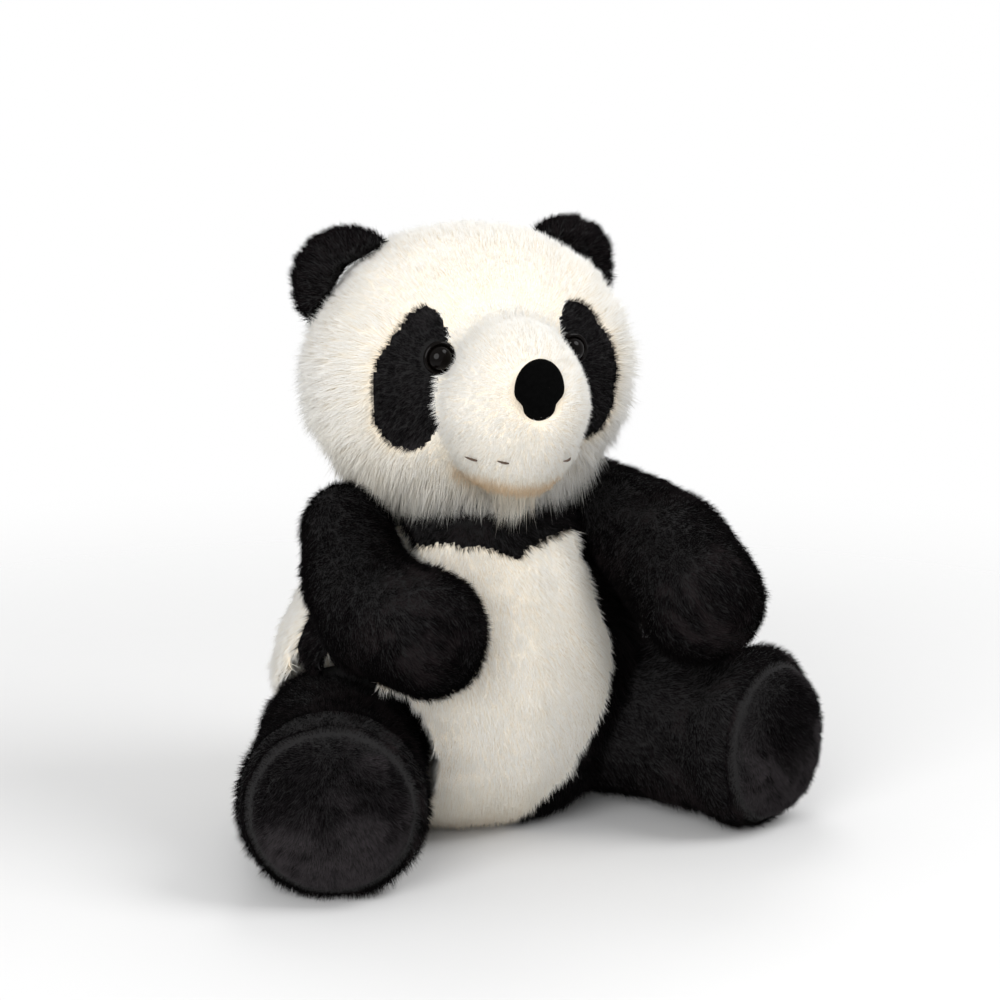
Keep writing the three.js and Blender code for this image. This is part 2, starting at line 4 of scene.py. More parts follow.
import bmesh
import bpy
import numpy as np
from mathutils import Matrix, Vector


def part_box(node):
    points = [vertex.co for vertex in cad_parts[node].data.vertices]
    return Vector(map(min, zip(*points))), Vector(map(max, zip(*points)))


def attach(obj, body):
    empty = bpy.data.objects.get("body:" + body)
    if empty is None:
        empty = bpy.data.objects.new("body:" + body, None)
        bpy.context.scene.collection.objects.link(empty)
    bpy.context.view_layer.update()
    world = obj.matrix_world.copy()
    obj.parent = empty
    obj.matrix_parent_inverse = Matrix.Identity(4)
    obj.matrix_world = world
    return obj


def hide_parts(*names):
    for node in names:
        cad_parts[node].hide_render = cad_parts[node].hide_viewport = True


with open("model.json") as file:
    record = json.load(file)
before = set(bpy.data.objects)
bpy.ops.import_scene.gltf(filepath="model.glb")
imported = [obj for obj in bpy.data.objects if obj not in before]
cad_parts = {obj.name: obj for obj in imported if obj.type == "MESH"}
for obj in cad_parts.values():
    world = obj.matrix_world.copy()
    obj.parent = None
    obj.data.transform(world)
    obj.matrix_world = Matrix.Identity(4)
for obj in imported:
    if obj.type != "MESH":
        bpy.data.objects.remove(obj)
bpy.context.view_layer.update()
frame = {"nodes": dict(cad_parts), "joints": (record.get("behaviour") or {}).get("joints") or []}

# Metres throughout. The panda faces -Y, and left and right are its own.
scene = bpy.context.scene
seed = 20
mm = 0.001
up = np.array([0.0, 0.0, 1.0])
sideSign = {"left": 1, "right": -1}
jointPlace = {j["name"]: np.array(j["pos_m"]) for j in frame["joints"]}


# Lowest and highest corner of several CAD nodes together.
def nodeBox(*names):
    corners = np.array([[list(c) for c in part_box(n)] for n in names])
    return corners[:, 0].min(0), corners[:, 1].max(0)


# Half way between those corners.
def nodeMiddle(*names):
    return sum(nodeBox(*names)) / 2


# Rows scaled to length one.
def unit(rows):
    return rows / np.maximum(np.linalg.norm(rows, axis=-1, keepdims=True), 1e-9)


# 0 below low, 1 above high, and 3t^2 - 2t^3 between them.
def smoothStep(low, high, value):
    part = np.clip((value - low) / (high - low), 0, 1)
    return part * part * (3 - 2 * part)


# A number from 0 to 1 for each row of whole numbers: the fraction of a large sine of their sum.
def cellHash(cells, salt):
    mixed = cells @ np.array([127.1, 311.7, 74.7]) + salt * 53.3
    spread = np.sin(mixed) * 43758.5453
    return spread - np.floor(spread)


# Turns the grid of the noise, so that no flat side of the toy lies along it.
noiseTurn = np.array([[0.36, 0.48, -0.8], [-0.8, 0.6, 0.0], [0.48, 0.64, 0.6]])


# Value noise from 0 to 1: hashes at the eight corners of a grid cell, joined by smooth steps.
def softNoise(points, size, salt):
    scaled = points @ noiseTurn / size
    base = np.floor(scaled)
    part = scaled - base
    part = part * part * (3 - 2 * part)
    total = np.zeros(len(points))
    for corner in range(8):
        step = np.array([corner & 1, corner >> 1 & 1, corner >> 2 & 1])
        weight = np.prod(np.where(step == 1, part, 1 - part), axis=1)
        total += weight * cellHash(base + step, salt)
    return total


# A noise vector for each point, each part from -1 to 1.
def noiseVector(points, size, salt):
    return np.stack([softNoise(points, size, salt + k) * 2 - 1 for k in range(3)], axis=1)


# The head's own axes: towards its left, towards its back, and up.
headMiddle = np.array([0.0, jointPlace["head_nod"][1], nodeMiddle("face_panel", "head_back_panel")[2]])
headLeft = unit((nodeMiddle("eye_left") - nodeMiddle("eye_right")) * np.array([1, 1, 0]))
headAxes = np.stack([headLeft, np.cross(up, headLeft), up])


# Distances from the head's middle along its own axes, and the same the other way round.
def toHead(points):
    return (points - headMiddle) @ headAxes.T


def fromHead(points):
    return points @ headAxes + headMiddle


# The legs' own axes, from the hip to the sole.
legAxis = {}
for side in sideSign:
    toSole = nodeMiddle("foot_sole_" + side) - jointPlace["leg_spread_" + side]
    legAxis[side] = unit(toSole * np.array([1, 1, 0]))


# Whole arrays of points and of equal-sided faces into a new object.
def meshObject(name, points, faces, material, smooth=True):
    mesh = bpy.data.meshes.new(name)
    sides = faces.shape[1]
    mesh.vertices.add(len(points))
    mesh.vertices.foreach_set("co", np.ascontiguousarray(points, np.float32).ravel())
    mesh.loops.add(faces.size)
    mesh.loops.foreach_set("vertex_index", np.ascontiguousarray(faces, np.int32).ravel())
    mesh.polygons.add(len(faces))
    mesh.polygons.foreach_set("loop_start", np.arange(0, faces.size, sides, dtype=np.int32))
    mesh.polygons.foreach_set("use_smooth", np.full(len(faces), smooth))
    mesh.update(calc_edges=True)
    obj = bpy.data.objects.new(name, mesh)
    scene.collection.objects.link(obj)
    mesh.materials.append(material)
    return obj


def readPoints(mesh):
    points = np.empty(len(mesh.vertices) * 3, np.float32)
    mesh.vertices.foreach_get("co", points)
    return points.reshape(-1, 3).astype(float)


def readEdges(mesh):
    edges = np.empty(len(mesh.edges) * 2, np.int32)
    mesh.edges.foreach_get("vertices", edges)
    return edges.reshape(-1, 2)


def writePoints(mesh, points):
    mesh.vertices.foreach_set("co", np.ascontiguousarray(points, np.float32).ravel())
    mesh.update()


def readNormals(mesh):
    normals = np.empty(len(mesh.vertices) * 3, np.float32)
    mesh.vertices.foreach_get("normal", normals)
    return normals.reshape(-1, 3).astype(float)


# Points, normals and triangles of a mesh, for planting fur.
def surfaceOf(mesh):
    mesh.calc_loop_triangles()
    triangles = np.empty(len(mesh.loop_triangles) * 3, np.int32)
    mesh.loop_triangles.foreach_get("vertices", triangles)
    return {"points": readPoints(mesh), "normals": readNormals(mesh), "triangles": triangles.reshape(-1, 3)}


# Sum over each point's neighbours of their rows.
def neighbourSum(rows, edges, count):
    total = np.empty((count, rows.shape[1]))
    for k in range(rows.shape[1]):
        total[:, k] = np.bincount(edges[:, 0], rows[edges[:, 1], k], count)
        total[:, k] += np.bincount(edges[:, 1], rows[edges[:, 0], k], count)
    return total


# Smoothing without shrinking: each point moves half way to its neighbours' mean, then a little
# more than that back again.
def relax(points, edges, rounds):
    number = np.bincount(edges.ravel(), minlength=len(points))[:, None]
    for _ in range(rounds):
        for share in (0.5, -0.52):
            points = points + share * (neighbourSum(points, edges, len(points)) / number - points)
    return points


# Which points belong to the largest connected island: the lowest number spreads along edges.
def largestIsland(edges, count):
    label = np.arange(count)
    while True:
        low = np.minimum(label[edges[:, 0]], label[edges[:, 1]])
        spread = label.copy()
        np.minimum.at(spread, edges[:, 0], low)
        np.minimum.at(spread, edges[:, 1], low)
        spread = spread[spread]
        if (spread == label).all():
            break
        label = spread
    return label == np.bincount(label).argmax()


def evaluatedMesh(obj):
    graph = bpy.context.evaluated_depsgraph_get()
    return bpy.data.meshes.new_from_object(obj.evaluated_get(graph))


# A grid of points closed round its rows, with a pole at each end. Row 0 and the last row are
# single points repeated.
def closedGrid(rows, columns):
    r, c = np.meshgrid(np.arange(rows - 1), np.arange(columns), indexing="ij")
    right = (c + 1) % columns
    here, after = r * columns, (r + 1) * columns
    return np.stack([here + c, here + right, after + right, after + c], -1).reshape(-1, 4)


# A plain Principled material, with more sockets set by their names, _ for a space.
def newMaterial(name, roughness, **sockets):
    material = bpy.data.materials.new(name)
    material.use_nodes = True
    shader = material.node_tree.nodes["Principled BSDF"]
    shader.inputs["Roughness"].default_value = roughness
    for socket, value in sockets.items():
        shader.inputs[socket.replace("_", " ")].default_value = value
    return material, shader


# Sets a colour ramp to a list of places and colours.
def setRamp(ramp, stops):
    elements = ramp.color_ramp.elements
    while len(elements) < len(stops):
        elements.new(0.5)
    for element, (place, colour) in zip(elements, stops):
        element.position = place
        element.color = (*colour, 1)


# Fur colour from its own map: across the map is the strand's tone, up the map is root to tip.
def furToneGroup():
    group = bpy.data.node_groups.new("furTone", "ShaderNodeTree")
    group.interface.new_socket(name="Map", in_out="INPUT", socket_type="NodeSocketVector")
    for name in ("Root", "Dark Tip", "Middle Tip", "Light Tip"):
        group.interface.new_socket(name=name, in_out="INPUT", socket_type="NodeSocketColor")
    group.interface.new_socket(name="Color", in_out="OUTPUT", socket_type="NodeSocketColor")
    nodes, links = group.nodes, group.links
    given = nodes.new("NodeGroupInput")
    made = nodes.new("NodeGroupOutput")
    parts = nodes.new("ShaderNodeSeparateXYZ")
    links.new(given.outputs["Map"], parts.inputs[0])

    def blended(low, high, first, second):
        step = nodes.new("ShaderNodeMapRange")
        step.inputs["From Min"].default_value = low
        step.inputs["From Max"].default_value = high
        mix = nodes.new("ShaderNodeMix")
        mix.data_type = "RGBA"
        links.new(step.outputs[0], mix.inputs["Factor"])
        links.new(first, mix.inputs["A"])
        links.new(second, mix.inputs["B"])
        return step, mix.outputs["Result"]

    low, dark = blended(0.0, 0.5, given.outputs["Dark Tip"], given.outputs["Middle Tip"])
    links.new(parts.outputs["X"], low.inputs["Value"])
    high, tip = blended(0.5, 1.0, dark, given.outputs["Light Tip"])
    links.new(parts.outputs["X"], high.inputs["Value"])
    along, colour = blended(0.05, 0.8, given.outputs["Root"], tip)
    links.new(parts.outputs["Y"], along.inputs["Value"])
    links.new(colour, made.inputs["Color"])
    return group


furTone = furToneGroup()


# A fur material: its colours go into the tone group, which reads the strand's own map.
def furMaterial(name, colours, roughness, **sockets):
    material, shader = newMaterial(name, roughness, **sockets)
    nodes, links = material.node_tree.nodes, material.node_tree.links
    place = nodes.new("ShaderNodeUVMap")
    place.uv_map = "OFBake"
    tone = nodes.new("ShaderNodeGroup")
    tone.node_tree = furTone
    links.new(place.outputs["UV"], tone.inputs["Map"])
    for socket, colour in colours.items():
        tone.inputs[socket].default_value = (*colour, 1)
    links.new(tone.outputs["Color"], shader.inputs["Base Color"])
    return material


knitted = {"detail": 5, "loop": 1 / 900, "strength": 0.4, "depth": 0.0006}


# Cloth backing under the fur: two colours in soft patches, with a fine knitted bump.
def backingMaterial(name, dark, light, size, roughness=0.95):
    material, shader = newMaterial(name, roughness)
    nodes, links = material.node_tree.nodes, material.node_tree.links
    place = nodes.new("ShaderNodeTexCoord")
    patches = nodes.new("ShaderNodeTexNoise")
    patches.inputs["Scale"].default_value = 1 / size
    patches.inputs["Detail"].default_value = knitted["detail"]
    ramp = nodes.new("ShaderNodeValToRGB")
    setRamp(ramp, [(0.3, dark), (0.7, light)])
    knit = nodes.new("ShaderNodeTexVoronoi")
    knit.inputs["Scale"].default_value = 1 / knitted["loop"]
    bump = nodes.new("ShaderNodeBump")
    bump.inputs["Strength"].default_value = knitted["strength"]
    bump.inputs["Distance"].default_value = knitted["depth"]
    links.new(place.outputs["Object"], patches.inputs["Vector"])
    links.new(place.outputs["Object"], knit.inputs["Vector"])
    links.new(patches.outputs["Fac"], ramp.inputs["Fac"])
    links.new(ramp.outputs["Color"], shader.inputs["Base Color"])
    links.new(knit.outputs["Distance"], bump.inputs["Height"])
    links.new(bump.outputs["Normal"], shader.inputs["Normal"])
    return material


# The beige roots and the tan dark tips are painted shade in the white pile.
whiteFur = furMaterial(
    "whiteFur",
    {"Root": (0.84, 0.76, 0.62), "Dark Tip": (0.70, 0.47, 0.25),
     "Middle Tip": (0.89, 0.855, 0.76), "Light Tip": (0.95, 0.95, 0.935)},
    0.85,
)
# The light tips of the black pile are painted sheen.
blackFur = furMaterial(
    "blackFur",
    {"Root": (0.0008, 0.0007, 0.0008), "Dark Tip": (0.001, 0.0008, 0.001),
     "Middle Tip": (0.0016, 0.0013, 0.0015), "Light Tip": (0.032, 0.025, 0.026)},
    0.6,
    Specular_IOR_Level=0.025,
)
# The light tips of the short pile are painted sheen too.
shortFur = furMaterial(
    "shortFur",
    {"Root": (0.0008, 0.0007, 0.0008), "Dark Tip": (0.0012, 0.001, 0.0012),
     "Middle Tip": (0.0022, 0.0019, 0.0021), "Light Tip": (0.050, 0.044, 0.047)},
    0.65,
    Specular_IOR_Level=0.025,
)
# The white backing's beige is painted shade under the pile.
whiteBacking = backingMaterial("whiteBacking", (0.74, 0.64, 0.50), (0.86, 0.79, 0.67), 0.02)
blackBacking = backingMaterial("blackBacking", (0.001, 0.0008, 0.001), (0.003, 0.0024, 0.0026), 0.015)


# A body's skin: the grid it is remeshed on, how far it is drawn in before it is blown up, the most
# that a point may then move, the pressure for a body of the usual size, and the lowest height.
softBody = {"voxel": 4 * mm, "fineVoxel": 2.8 * mm, "slack": 0.4 * mm, "cap": 1.5 * mm, "pressure": 80,
            "mass": 0.003, "usual": 50 * mm, "seat": 0.3 * mm, "frames": 20, "quality": 5}


# One object from copies of several CAD nodes, whose shared corners are merged.
def joinedNodes(name, nodes):
    work = bmesh.new()
    for node in nodes:
        work.from_mesh(frame["nodes"][node].data)
    bmesh.ops.remove_doubles(work, verts=work.verts, dist=1e-6)
    mesh = bpy.data.meshes.new(name)
    work.to_mesh(mesh)
    work.free()
    obj = bpy.data.objects.new(name, mesh)
    scene.collection.objects.link(obj)
    return obj


# Cloth with air in it: the skin swells between the points that are held, by no more than the cap.
def swell(obj, held):
    start = readPoints(obj.data)
    group = obj.vertex_groups.new(name="held")
    for weight in (1.0, 0.0):
        group.add(np.flatnonzero((held > 0.5) == bool(weight)).tolist(), weight, "REPLACE")
    cloth = obj.modifiers.new("cloth", "CLOTH")
    cloth.settings.quality = softBody["quality"]
    cloth.settings.mass = softBody["mass"]
    cloth.settings.use_pressure = True
    spread = np.linalg.norm(start - start.mean(0), axis=1).mean()
    cloth.settings.uniform_pressure_force = softBody["pressure"] * (softBody["usual"] / spread) ** 2
    cloth.settings.effector_weights.gravity = 0
    cloth.settings.vertex_group_mass = "held"
    cloth.point_cache.frame_start = 1
    cloth.point_cache.frame_end = softBody["frames"]
    for step in range(1, softBody["frames"] + 1):
        scene.frame_set(step)
    swollen = evaluatedMesh(obj)
    move = readPoints(swollen) - start
    bpy.data.meshes.remove(swollen)
    obj.modifiers.remove(cloth)
    obj.vertex_groups.clear()
    scene.frame_set(1)
    length = np.linalg.norm(move, axis=1, keepdims=True)
    grown = float((move * readNormals(obj.data)).sum(1).mean()) / mm
    print("swollen", obj.name, "by", round(grown, 2), "mm")
    writePoints(obj.data, start + move * np.minimum(1, softBody["cap"] / np.maximum(length, 1e-9)))


# A stuffed body from its CAD nodes: one closed skin, smoothed, shaped, swollen and
# subdivided once. shape(points, normals) gives the new points, held(points) what stays still.
def stuffedBody(name, nodes, material, body, voxel, shape=None, held=None, rounds=8):
    rough = joinedNodes(name, nodes)
    remesh = rough.modifiers.new("remesh", "REMESH")
    remesh.mode = "VOXEL"
    remesh.voxel_size = voxel
    mesh = evaluatedMesh(rough)
    bpy.data.objects.remove(rough)
    edges = readEdges(mesh)
    lone = np.flatnonzero(~largestIsland(edges, len(mesh.vertices)))
    work = bmesh.new()
    work.from_mesh(mesh)
    work.verts.ensure_lookup_table()
    bmesh.ops.delete(work, geom=[work.verts[i] for i in lone.tolist()], context="VERTS")
    bmesh.ops.recalc_face_normals(work, faces=work.faces)
    work.to_mesh(mesh)
    work.free()
    mesh.name = name
    points = relax(readPoints(mesh), readEdges(mesh), rounds)
    writePoints(mesh, points)
    if shape:
        writePoints(mesh, shape(points, readNormals(mesh)))
    obj = bpy.data.objects.new(name, mesh)
    scene.collection.objects.link(obj)
    points = readPoints(mesh)
    writePoints(mesh, points - readNormals(mesh) * softBody["slack"])
    swell(obj, held(points) if held else np.zeros(len(points)))
    mesh.materials.clear()
    mesh.materials.append(material)
    mesh.polygons.foreach_set("use_smooth", np.full(len(mesh.polygons), True))
    divide = obj.modifiers.new("divide", "SUBSURF")
    divide.levels = 1
    divide.render_levels = 1
    fine = evaluatedMesh(obj)
    obj.modifiers.remove(divide)
    obj.data = fine
    fine.name = name
    points = readPoints(fine)
    points[:, 2] = np.maximum(points[:, 2], softBody["seat"])
    writePoints(fine, points)
    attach(obj, body)
    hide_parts(*nodes)
    print("stuffed body", name, len(fine.polygons), "faces")
    return obj


muzzle = {"forward": 0.056, "drop": 0.010, "half": np.array([0.034, 0.037, 0.040]), "narrow": 0.16,
          "lip": (-0.008, -0.032)}


# Where a point lies in the muzzle's rounded form, narrower towards the lip: below 1 inside it.
def muzzlePlace(here):
    wide = 1 - muzzle["narrow"] * smoothStep(*muzzle["lip"], here[:, 2])
    gap = (here + np.array([0, muzzle["forward"], muzzle["drop"]])) / muzzle["half"]
    return np.sqrt((gap[:, 0] / wide) ** 2 + gap[:, 1] ** 2 + gap[:, 2] ** 2)


# Dents in the head: one beside each eye, and one where each ear is sewn on.
dent = {"eye": np.array([0.032, -0.050, 0.013]), "eyeShape": np.array([1, 1.4, 1.2]), "eyeDeep": 3 * mm,
        "eyeWide": 12 * mm, "earInward": np.array([0.92, 1, 0.92]), "earDeep": 4.5 * mm, "earWide": 26 * mm}


# The head's form: every dent is a bell curve along the normals, and the lower lip is narrowed.
def headShape(points, normals):
    here = toHead(points)
    depth = np.zeros(len(points))
    for side, sign in sideSign.items():
        eye = dent["eye"] * np.array([sign, 1, 1])
        fromEye = np.linalg.norm((here - eye) / dent["eyeShape"], axis=1)
        ear = toHead(nodeMiddle("ear_front_" + side, "ear_back_" + side)[None])[0] * dent["earInward"]
        fromEar = np.linalg.norm(here - ear, axis=1)
        depth += dent["eyeDeep"] * np.exp(-(fromEye / dent["eyeWide"]) ** 2)
        depth += dent["earDeep"] * np.exp(-(fromEar / dent["earWide"]) ** 2)
    points = points - normals * depth[:, None]
    here = toHead(points)
    lower = smoothStep(1.35, 1.0, muzzlePlace(here)) * smoothStep(*muzzle["lip"], here[:, 2])
    here[:, 0] *= 1 - muzzle["narrow"] * lower
    return fromHead(here)


# The sole's end of a leg: the pad bulges, the edge round it is rounded off, and the seam between
# them is drawn in.
sole = {"pad": 34.5 * mm, "bulge": 4 * mm, "edge": 44 * mm, "round": 6 * mm, "groove": 3.4 * mm,
        "line": 2.6 * mm, "from": 85 * mm, "to": 98 * mm, "tip": 102 * mm, "seam": 100 * mm,
        "held": 4 * mm, "cover": 90 * mm, "short": 3.5 * mm, "shorter": 0.6}


def soleForm(side):
    def shape(points, normals):
        along, radius = legPlace(points, side)
        end = smoothStep(sole["from"], sole["to"], along)
        move = sole["bulge"] * np.clip(1 - (radius / sole["pad"]) ** 2, 0, 1)
        move -= sole["round"] * smoothStep(sole["pad"], sole["edge"], radius)
        groove = sole["groove"] * np.exp(-((radius - sole["pad"]) / sole["line"]) ** 2)
        return points + (end * move)[:, None] * legAxis[side] - normals * (end * groove)[:, None]

    return shape


# How far along the leg a point is, and how far from the leg's middle line.
def legPlace(points, side):
    rest = points - jointPlace["leg_spread_" + side]
    along = rest @ legAxis[side]
    return along, np.linalg.norm(rest - along[:, None] * legAxis[side], axis=1)


# The points of the sole's seam, which the cloth simulation holds still.
def soleHeld(side):
    return lambda points: np.abs(legPlace(points, side)[0] - sole["seam"]) < sole["held"]


headNodes = ["face_panel", "head_back_panel", "muzzle_panel", "chin_panel", "head_stuffing",
             "eye_patch_left", "eye_patch_right"]
torsoNodes = ["chest_yoke", "belly_panel", "back_panel", "torso_stuffing", "pellet_bag"]
coarseGrid = softBody["voxel"]
fineGrid = softBody["fineVoxel"]
bodies = {}
bodies["head"] = stuffedBody("headBody", headNodes, whiteBacking, "head", coarseGrid,
                             headShape)
bodies["torso"] = stuffedBody("torsoBody", torsoNodes, whiteBacking, "torso", coarseGrid)
bodies["tail"] = stuffedBody("tailBody", ["tail"], whiteBacking, "torso", fineGrid)
bodies["neck"] = stuffedBody("neckBody", ["neck_stuffing"], blackBacking, "neck", fineGrid)
for side in sideSign:
    ear = ["ear_front_" + side, "ear_back_" + side]
    arm = [kind + side for kind in ("arm_outer_", "arm_inner_", "arm_stuffing_")]
    leg = [kind + side for kind in ("leg_upper_", "leg_lower_", "foot_sole_", "leg_stuffing_")]
    title = side.capitalize()
    bodies["ear" + title] = stuffedBody("earBody" + title, ear, blackBacking, "head", fineGrid)
    bodies["arm" + title] = stuffedBody("armBody" + title, arm, blackBacking, "arm_" + side,
                                        coarseGrid)
    bodies["leg" + title] = stuffedBody("legBody" + title, leg, blackBacking, "leg_" + side,
                                        coarseGrid, soleForm(side), soleHeld(side))
surfaces = {name: surfaceOf(obj.data) for name, obj in bodies.items()}


# How far each point lies outside a surface, along the normal of the surface's nearest point,
# and less than nothing where it is inside.
def outside(points, surface):
    result = np.empty(len(points))
    there, facing = surface["points"][::3], surface["normals"][::3]
    size = (there ** 2).sum(1)
    for start in range(0, len(points), 2000):
        part = points[start:start + 2000]
        nearest = (size - 2 * part @ there.T).argmin(1)
        result[start:start + 2000] = ((part - there[nearest]) * facing[nearest]).sum(1)
    return result


# The hull of a body, which also covers its sockets.
def hullSurface(surface):
    work = bmesh.new()
    for point in surface["points"][::5].tolist():
        work.verts.new(point)
    bmesh.ops.convex_hull(work, input=work.verts)
    bmesh.ops.subdivide_edges(work, edges=work.edges, cuts=3, use_grid_fill=True)
    mesh = bpy.data.meshes.new("hull")
    work.to_mesh(mesh)
    work.free()
    found = surfaceOf(mesh)
    bpy.data.meshes.remove(mesh)
    return found


# The tuft of each root: the nearest of the points scattered one to a cell of a grid. Gives the
# cells that hold a tuft, and for each root the number of its cell.
def tuftsOf(root, size):
    scaled = root / size
    base = np.floor(scaled)
    best = np.full(len(root), np.inf)
    cell = base.copy()
    for corner in range(27):
        here = base + np.array([corner % 3, corner // 3 % 3, corner // 9]) - 1
        scatter = np.stack([cellHash(here, 61 + k) for k in range(3)], 1)
        gap = ((here + scatter - scaled) ** 2).sum(1)
        nearer = gap < best
        best[nearer] = gap[nearer]
        cell[nearer] = here[nearer]
    code = ((cell - cell.min(0)) @ np.array([1.0, 1024.0, 1048576.0])).astype(np.int64)
    found, first, tuftOf = np.unique(code, return_index=True, return_inverse=True)
    return cell[first], tuftOf.ravel()


# How deep a root sits in the cloth, the lowest heights of a tip and of a strand, and the ranges of
# tone and of the map.
strand = {"sunk": 0.8 * mm, "lowTip": 0.6 * mm, "lowest": 0.4 * mm, "tones": (0.03, 0.97),
          "map": (0.01, 0.99)}


# Roots at even steps of the covered area, each at a random place in its triangle, with normals.
def plantRoots(surface, density, cover, rng):
    corners = surface["points"][surface["triangles"]]
    area = np.linalg.norm(np.cross(corners[:, 1] - corners[:, 0], corners[:, 2] - corners[:, 0]), axis=1) / 2
    share = np.cumsum(area * (cover(corners.mean(1)) > 0))
    count = int(share[-1] * density)
    pick = np.searchsorted(share, (np.arange(count) + rng.random(count)) / count * share[-1])
    pick = np.minimum(pick, len(area) - 1)
    first, second = rng.random((2, count))
    turned = first + second > 1
    first = np.where(turned, 1 - first, first)
    second = np.where(turned, 1 - second, second)
    weights = np.stack([1 - first - second, first, second], 1)
    root = np.einsum("ij,ijk->ik", weights, corners[pick])
    normal = unit(np.einsum("ij,ijk->ik", weights, surface["normals"][surface["triangles"][pick]]))
    keep = rng.random(count) < cover(root)
    return root[keep], normal[keep]


# Where strands end: each leaves its root along the comb direction raised by the lift, is turned by
# slow waves, and its tip is pulled towards the tip of the tuft that its root lies in.
def combTips(root, normal, fur, comb, stretch, droop, rng):
    count = len(root)
    cell, tuftOf = tuftsOf(root, fur["tuft"])
    number = np.bincount(tuftOf)

    def tuftMean(rows):
        return np.stack([np.bincount(tuftOf, rows[:, k]) / number for k in range(3)], 1)[tuftOf]

    flow = comb(root, normal)
    flow = unit(flow - normal * (flow * normal).sum(1, keepdims=True))
    wave = noiseVector(root, fur["waveSize"], 11) * fur["wave"]
    lean = np.stack([cellHash(cell, 31 + k) * 2 - 1 for k in range(3)], 1)[tuftOf] * fur["tuftTurn"]
    direction = unit(flow * math.cos(fur["lift"]) + normal * math.sin(fur["lift"]) + wave + lean)
    if droop:
        direction = unit(direction - droop(root)[:, None] * up)
    stray = unit(direction + rng.normal(size=(count, 3)) * fur["stray"])
    length = fur["length"] * (1 - fur["uneven"] * rng.random(count))
    length = length * (0.85 + 0.3 * cellHash(cell, 41)[tuftOf])
    if stretch:
        length = length * stretch(root)
    length = length[:, None]
    tip = root + stray * length
    tuftTip = tuftMean(root) + unit(tuftMean(direction)) * length
    tip = tip + (tuftTip - tip) * fur["pull"] * (0.4 + 0.6 * rng.random((count, 1)))
    rise = ((tip - root) * normal).sum(1, keepdims=True)
    tip = tip + normal * np.maximum(0, fur["least"] * length - rise)
    tip[:, 2] = np.maximum(tip[:, 2], strand["lowTip"])
    return tip


# Closed spikes: three corners round each root and one at the tip, whose shading normals lie
# between the cloth's normal and the spike's own.
def spikeParts(root, normal, tip, fur, rng):
    count = len(root)
    axis = unit(tip - root)
    around = unit(np.cross(axis, np.where(np.abs(axis[:, 2:]) > 0.9, np.array([1.0, 0, 0]), up)))
    other = np.cross(axis, around)
    spin = rng.random(count)[:, None] * 2 * math.pi
    radius = fur["radius"] * (0.75 + 0.5 * rng.random((count, 1)))
    points, normals = [], []
    for corner in range(3):
        angle = spin + corner * 2 * math.pi / 3
        out = around * np.cos(angle) + other * np.sin(angle)
        points.append(root + out * radius)
        normals.append(unit(normal * (1 - fur["roundness"]) + out * fur["roundness"]))
    points.append(tip)
    normals.append(unit(normal * 0.8 + axis * 0.2))
    faces = np.array([[0, 1, 3], [1, 2, 3], [2, 0, 3]])[None] + (np.arange(count) * 4)[:, None, None]
    points = np.stack(points, 1).reshape(-1, 3)
    points[:, 2] = np.maximum(points[:, 2], strand["lowest"])
    return points, np.stack(normals, 1).reshape(-1, 3), faces.reshape(-1, 3)


# Fur on a surface, as one mesh of spikes. Its map holds the strand's tone across and root to tip
# up; cover, comb, tone, stretch and droop are worked out at the roots.
def growFur(name, surface, fur, material, body, cover, comb, tone, stretch=None, droop=None):
    rng = np.random.default_rng(seed + fur["salt"])
    root, normal = plantRoots(surface, fur["density"], cover, rng)
    tip = combTips(root, normal, fur, comb, stretch, droop, rng)
    root = root - normal * strand["sunk"]
    points, normals, faces = spikeParts(root, normal, tip, fur, rng)
    shade = np.clip(tone(root, rng), *strand["tones"])[:, None]
    across = np.clip(shade + np.array([-0.01, 0, 0.01, 0]), *strand["map"]).ravel()
    along = np.clip(np.tile([0.0, 0.0, 0.0, 1.0], len(root)), *strand["map"])
    obj = meshObject(name, points, faces, material)
    layer = obj.data.uv_layers.new(name="OFBake")
    order = faces.ravel()
    layer.data.foreach_set("uv", np.stack([across[order], along[order]], 1).astype(np.float32).ravel())
    obj.data.normals_split_custom_set_from_vertices(normals.tolist())
    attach(obj, body)
    print("fur", name, len(root), "strands", len(faces), "triangles")
    return obj


# Fur: strands to the square metre, their length and radius, how far they rise from the cloth in
# radians, the size of a tuft, and how much they turn with the tuft, wave, stray and differ.
longFur = {"salt": 1, "density": 2.4e6, "length": 8 * mm, "radius": 0.17 * mm, "lift": 0.6, "tuft": 4.5 * mm,
           "tuftTurn": 0.2, "wave": 0.28, "waveSize": 24 * mm, "stray": 0.2, "uneven": 0.5, "pull": 0.42,
           "least": 0.3, "roundness": 0.35}


# The same fur with some values changed.
def furLike(base, **changes):
    return {**base, **changes}


# Where a point lies in an eye patch: below 1 inside it. The outline is an oval whose outer half
# is wider than its inner half, leaning so that its top is towards the middle of the face.
patch = {"across": 0.0395, "rise": 0.001, "outer": 0.0175, "inner": 0.0115, "tall": 0.0315, "taper": 0.3,
         "lean": math.radians(9)}


def patchPlace(here, sign):
    across = here[:, 0] * sign - patch["across"]
    rise = here[:, 2] - patch["rise"]
    tilted = across * math.cos(patch["lean"]) + rise * math.sin(patch["lean"])
    upright = rise * math.cos(patch["lean"]) - across * math.sin(patch["lean"])
    wide = np.where(tilted > 0, patch["outer"] * (1 - patch["taper"] * smoothStep(0, patch["tall"], upright)),
                    patch["inner"])
    power = np.where(tilted > 0, 2.0, 3.0)
    return (np.abs(tilted / wide) ** power + np.abs(upright / patch["tall"]) ** power) ** (1 / power)


# Distance from the nearer eye's rim middle.
def eyeSpace(here):
    nearest = np.full(len(here), 1.0)
    for side, sign in sideSign.items():
        eye = toHead(nodeMiddle("eye_rim_" + side)[None])[0]
        nearest = np.minimum(nearest, np.linalg.norm(here - eye, axis=1))
    return nearest


noseMiddle = toHead(nodeMiddle("nose")[None])[0]
noseSpace = np.array([0.0115, 0.012, 0.0135])


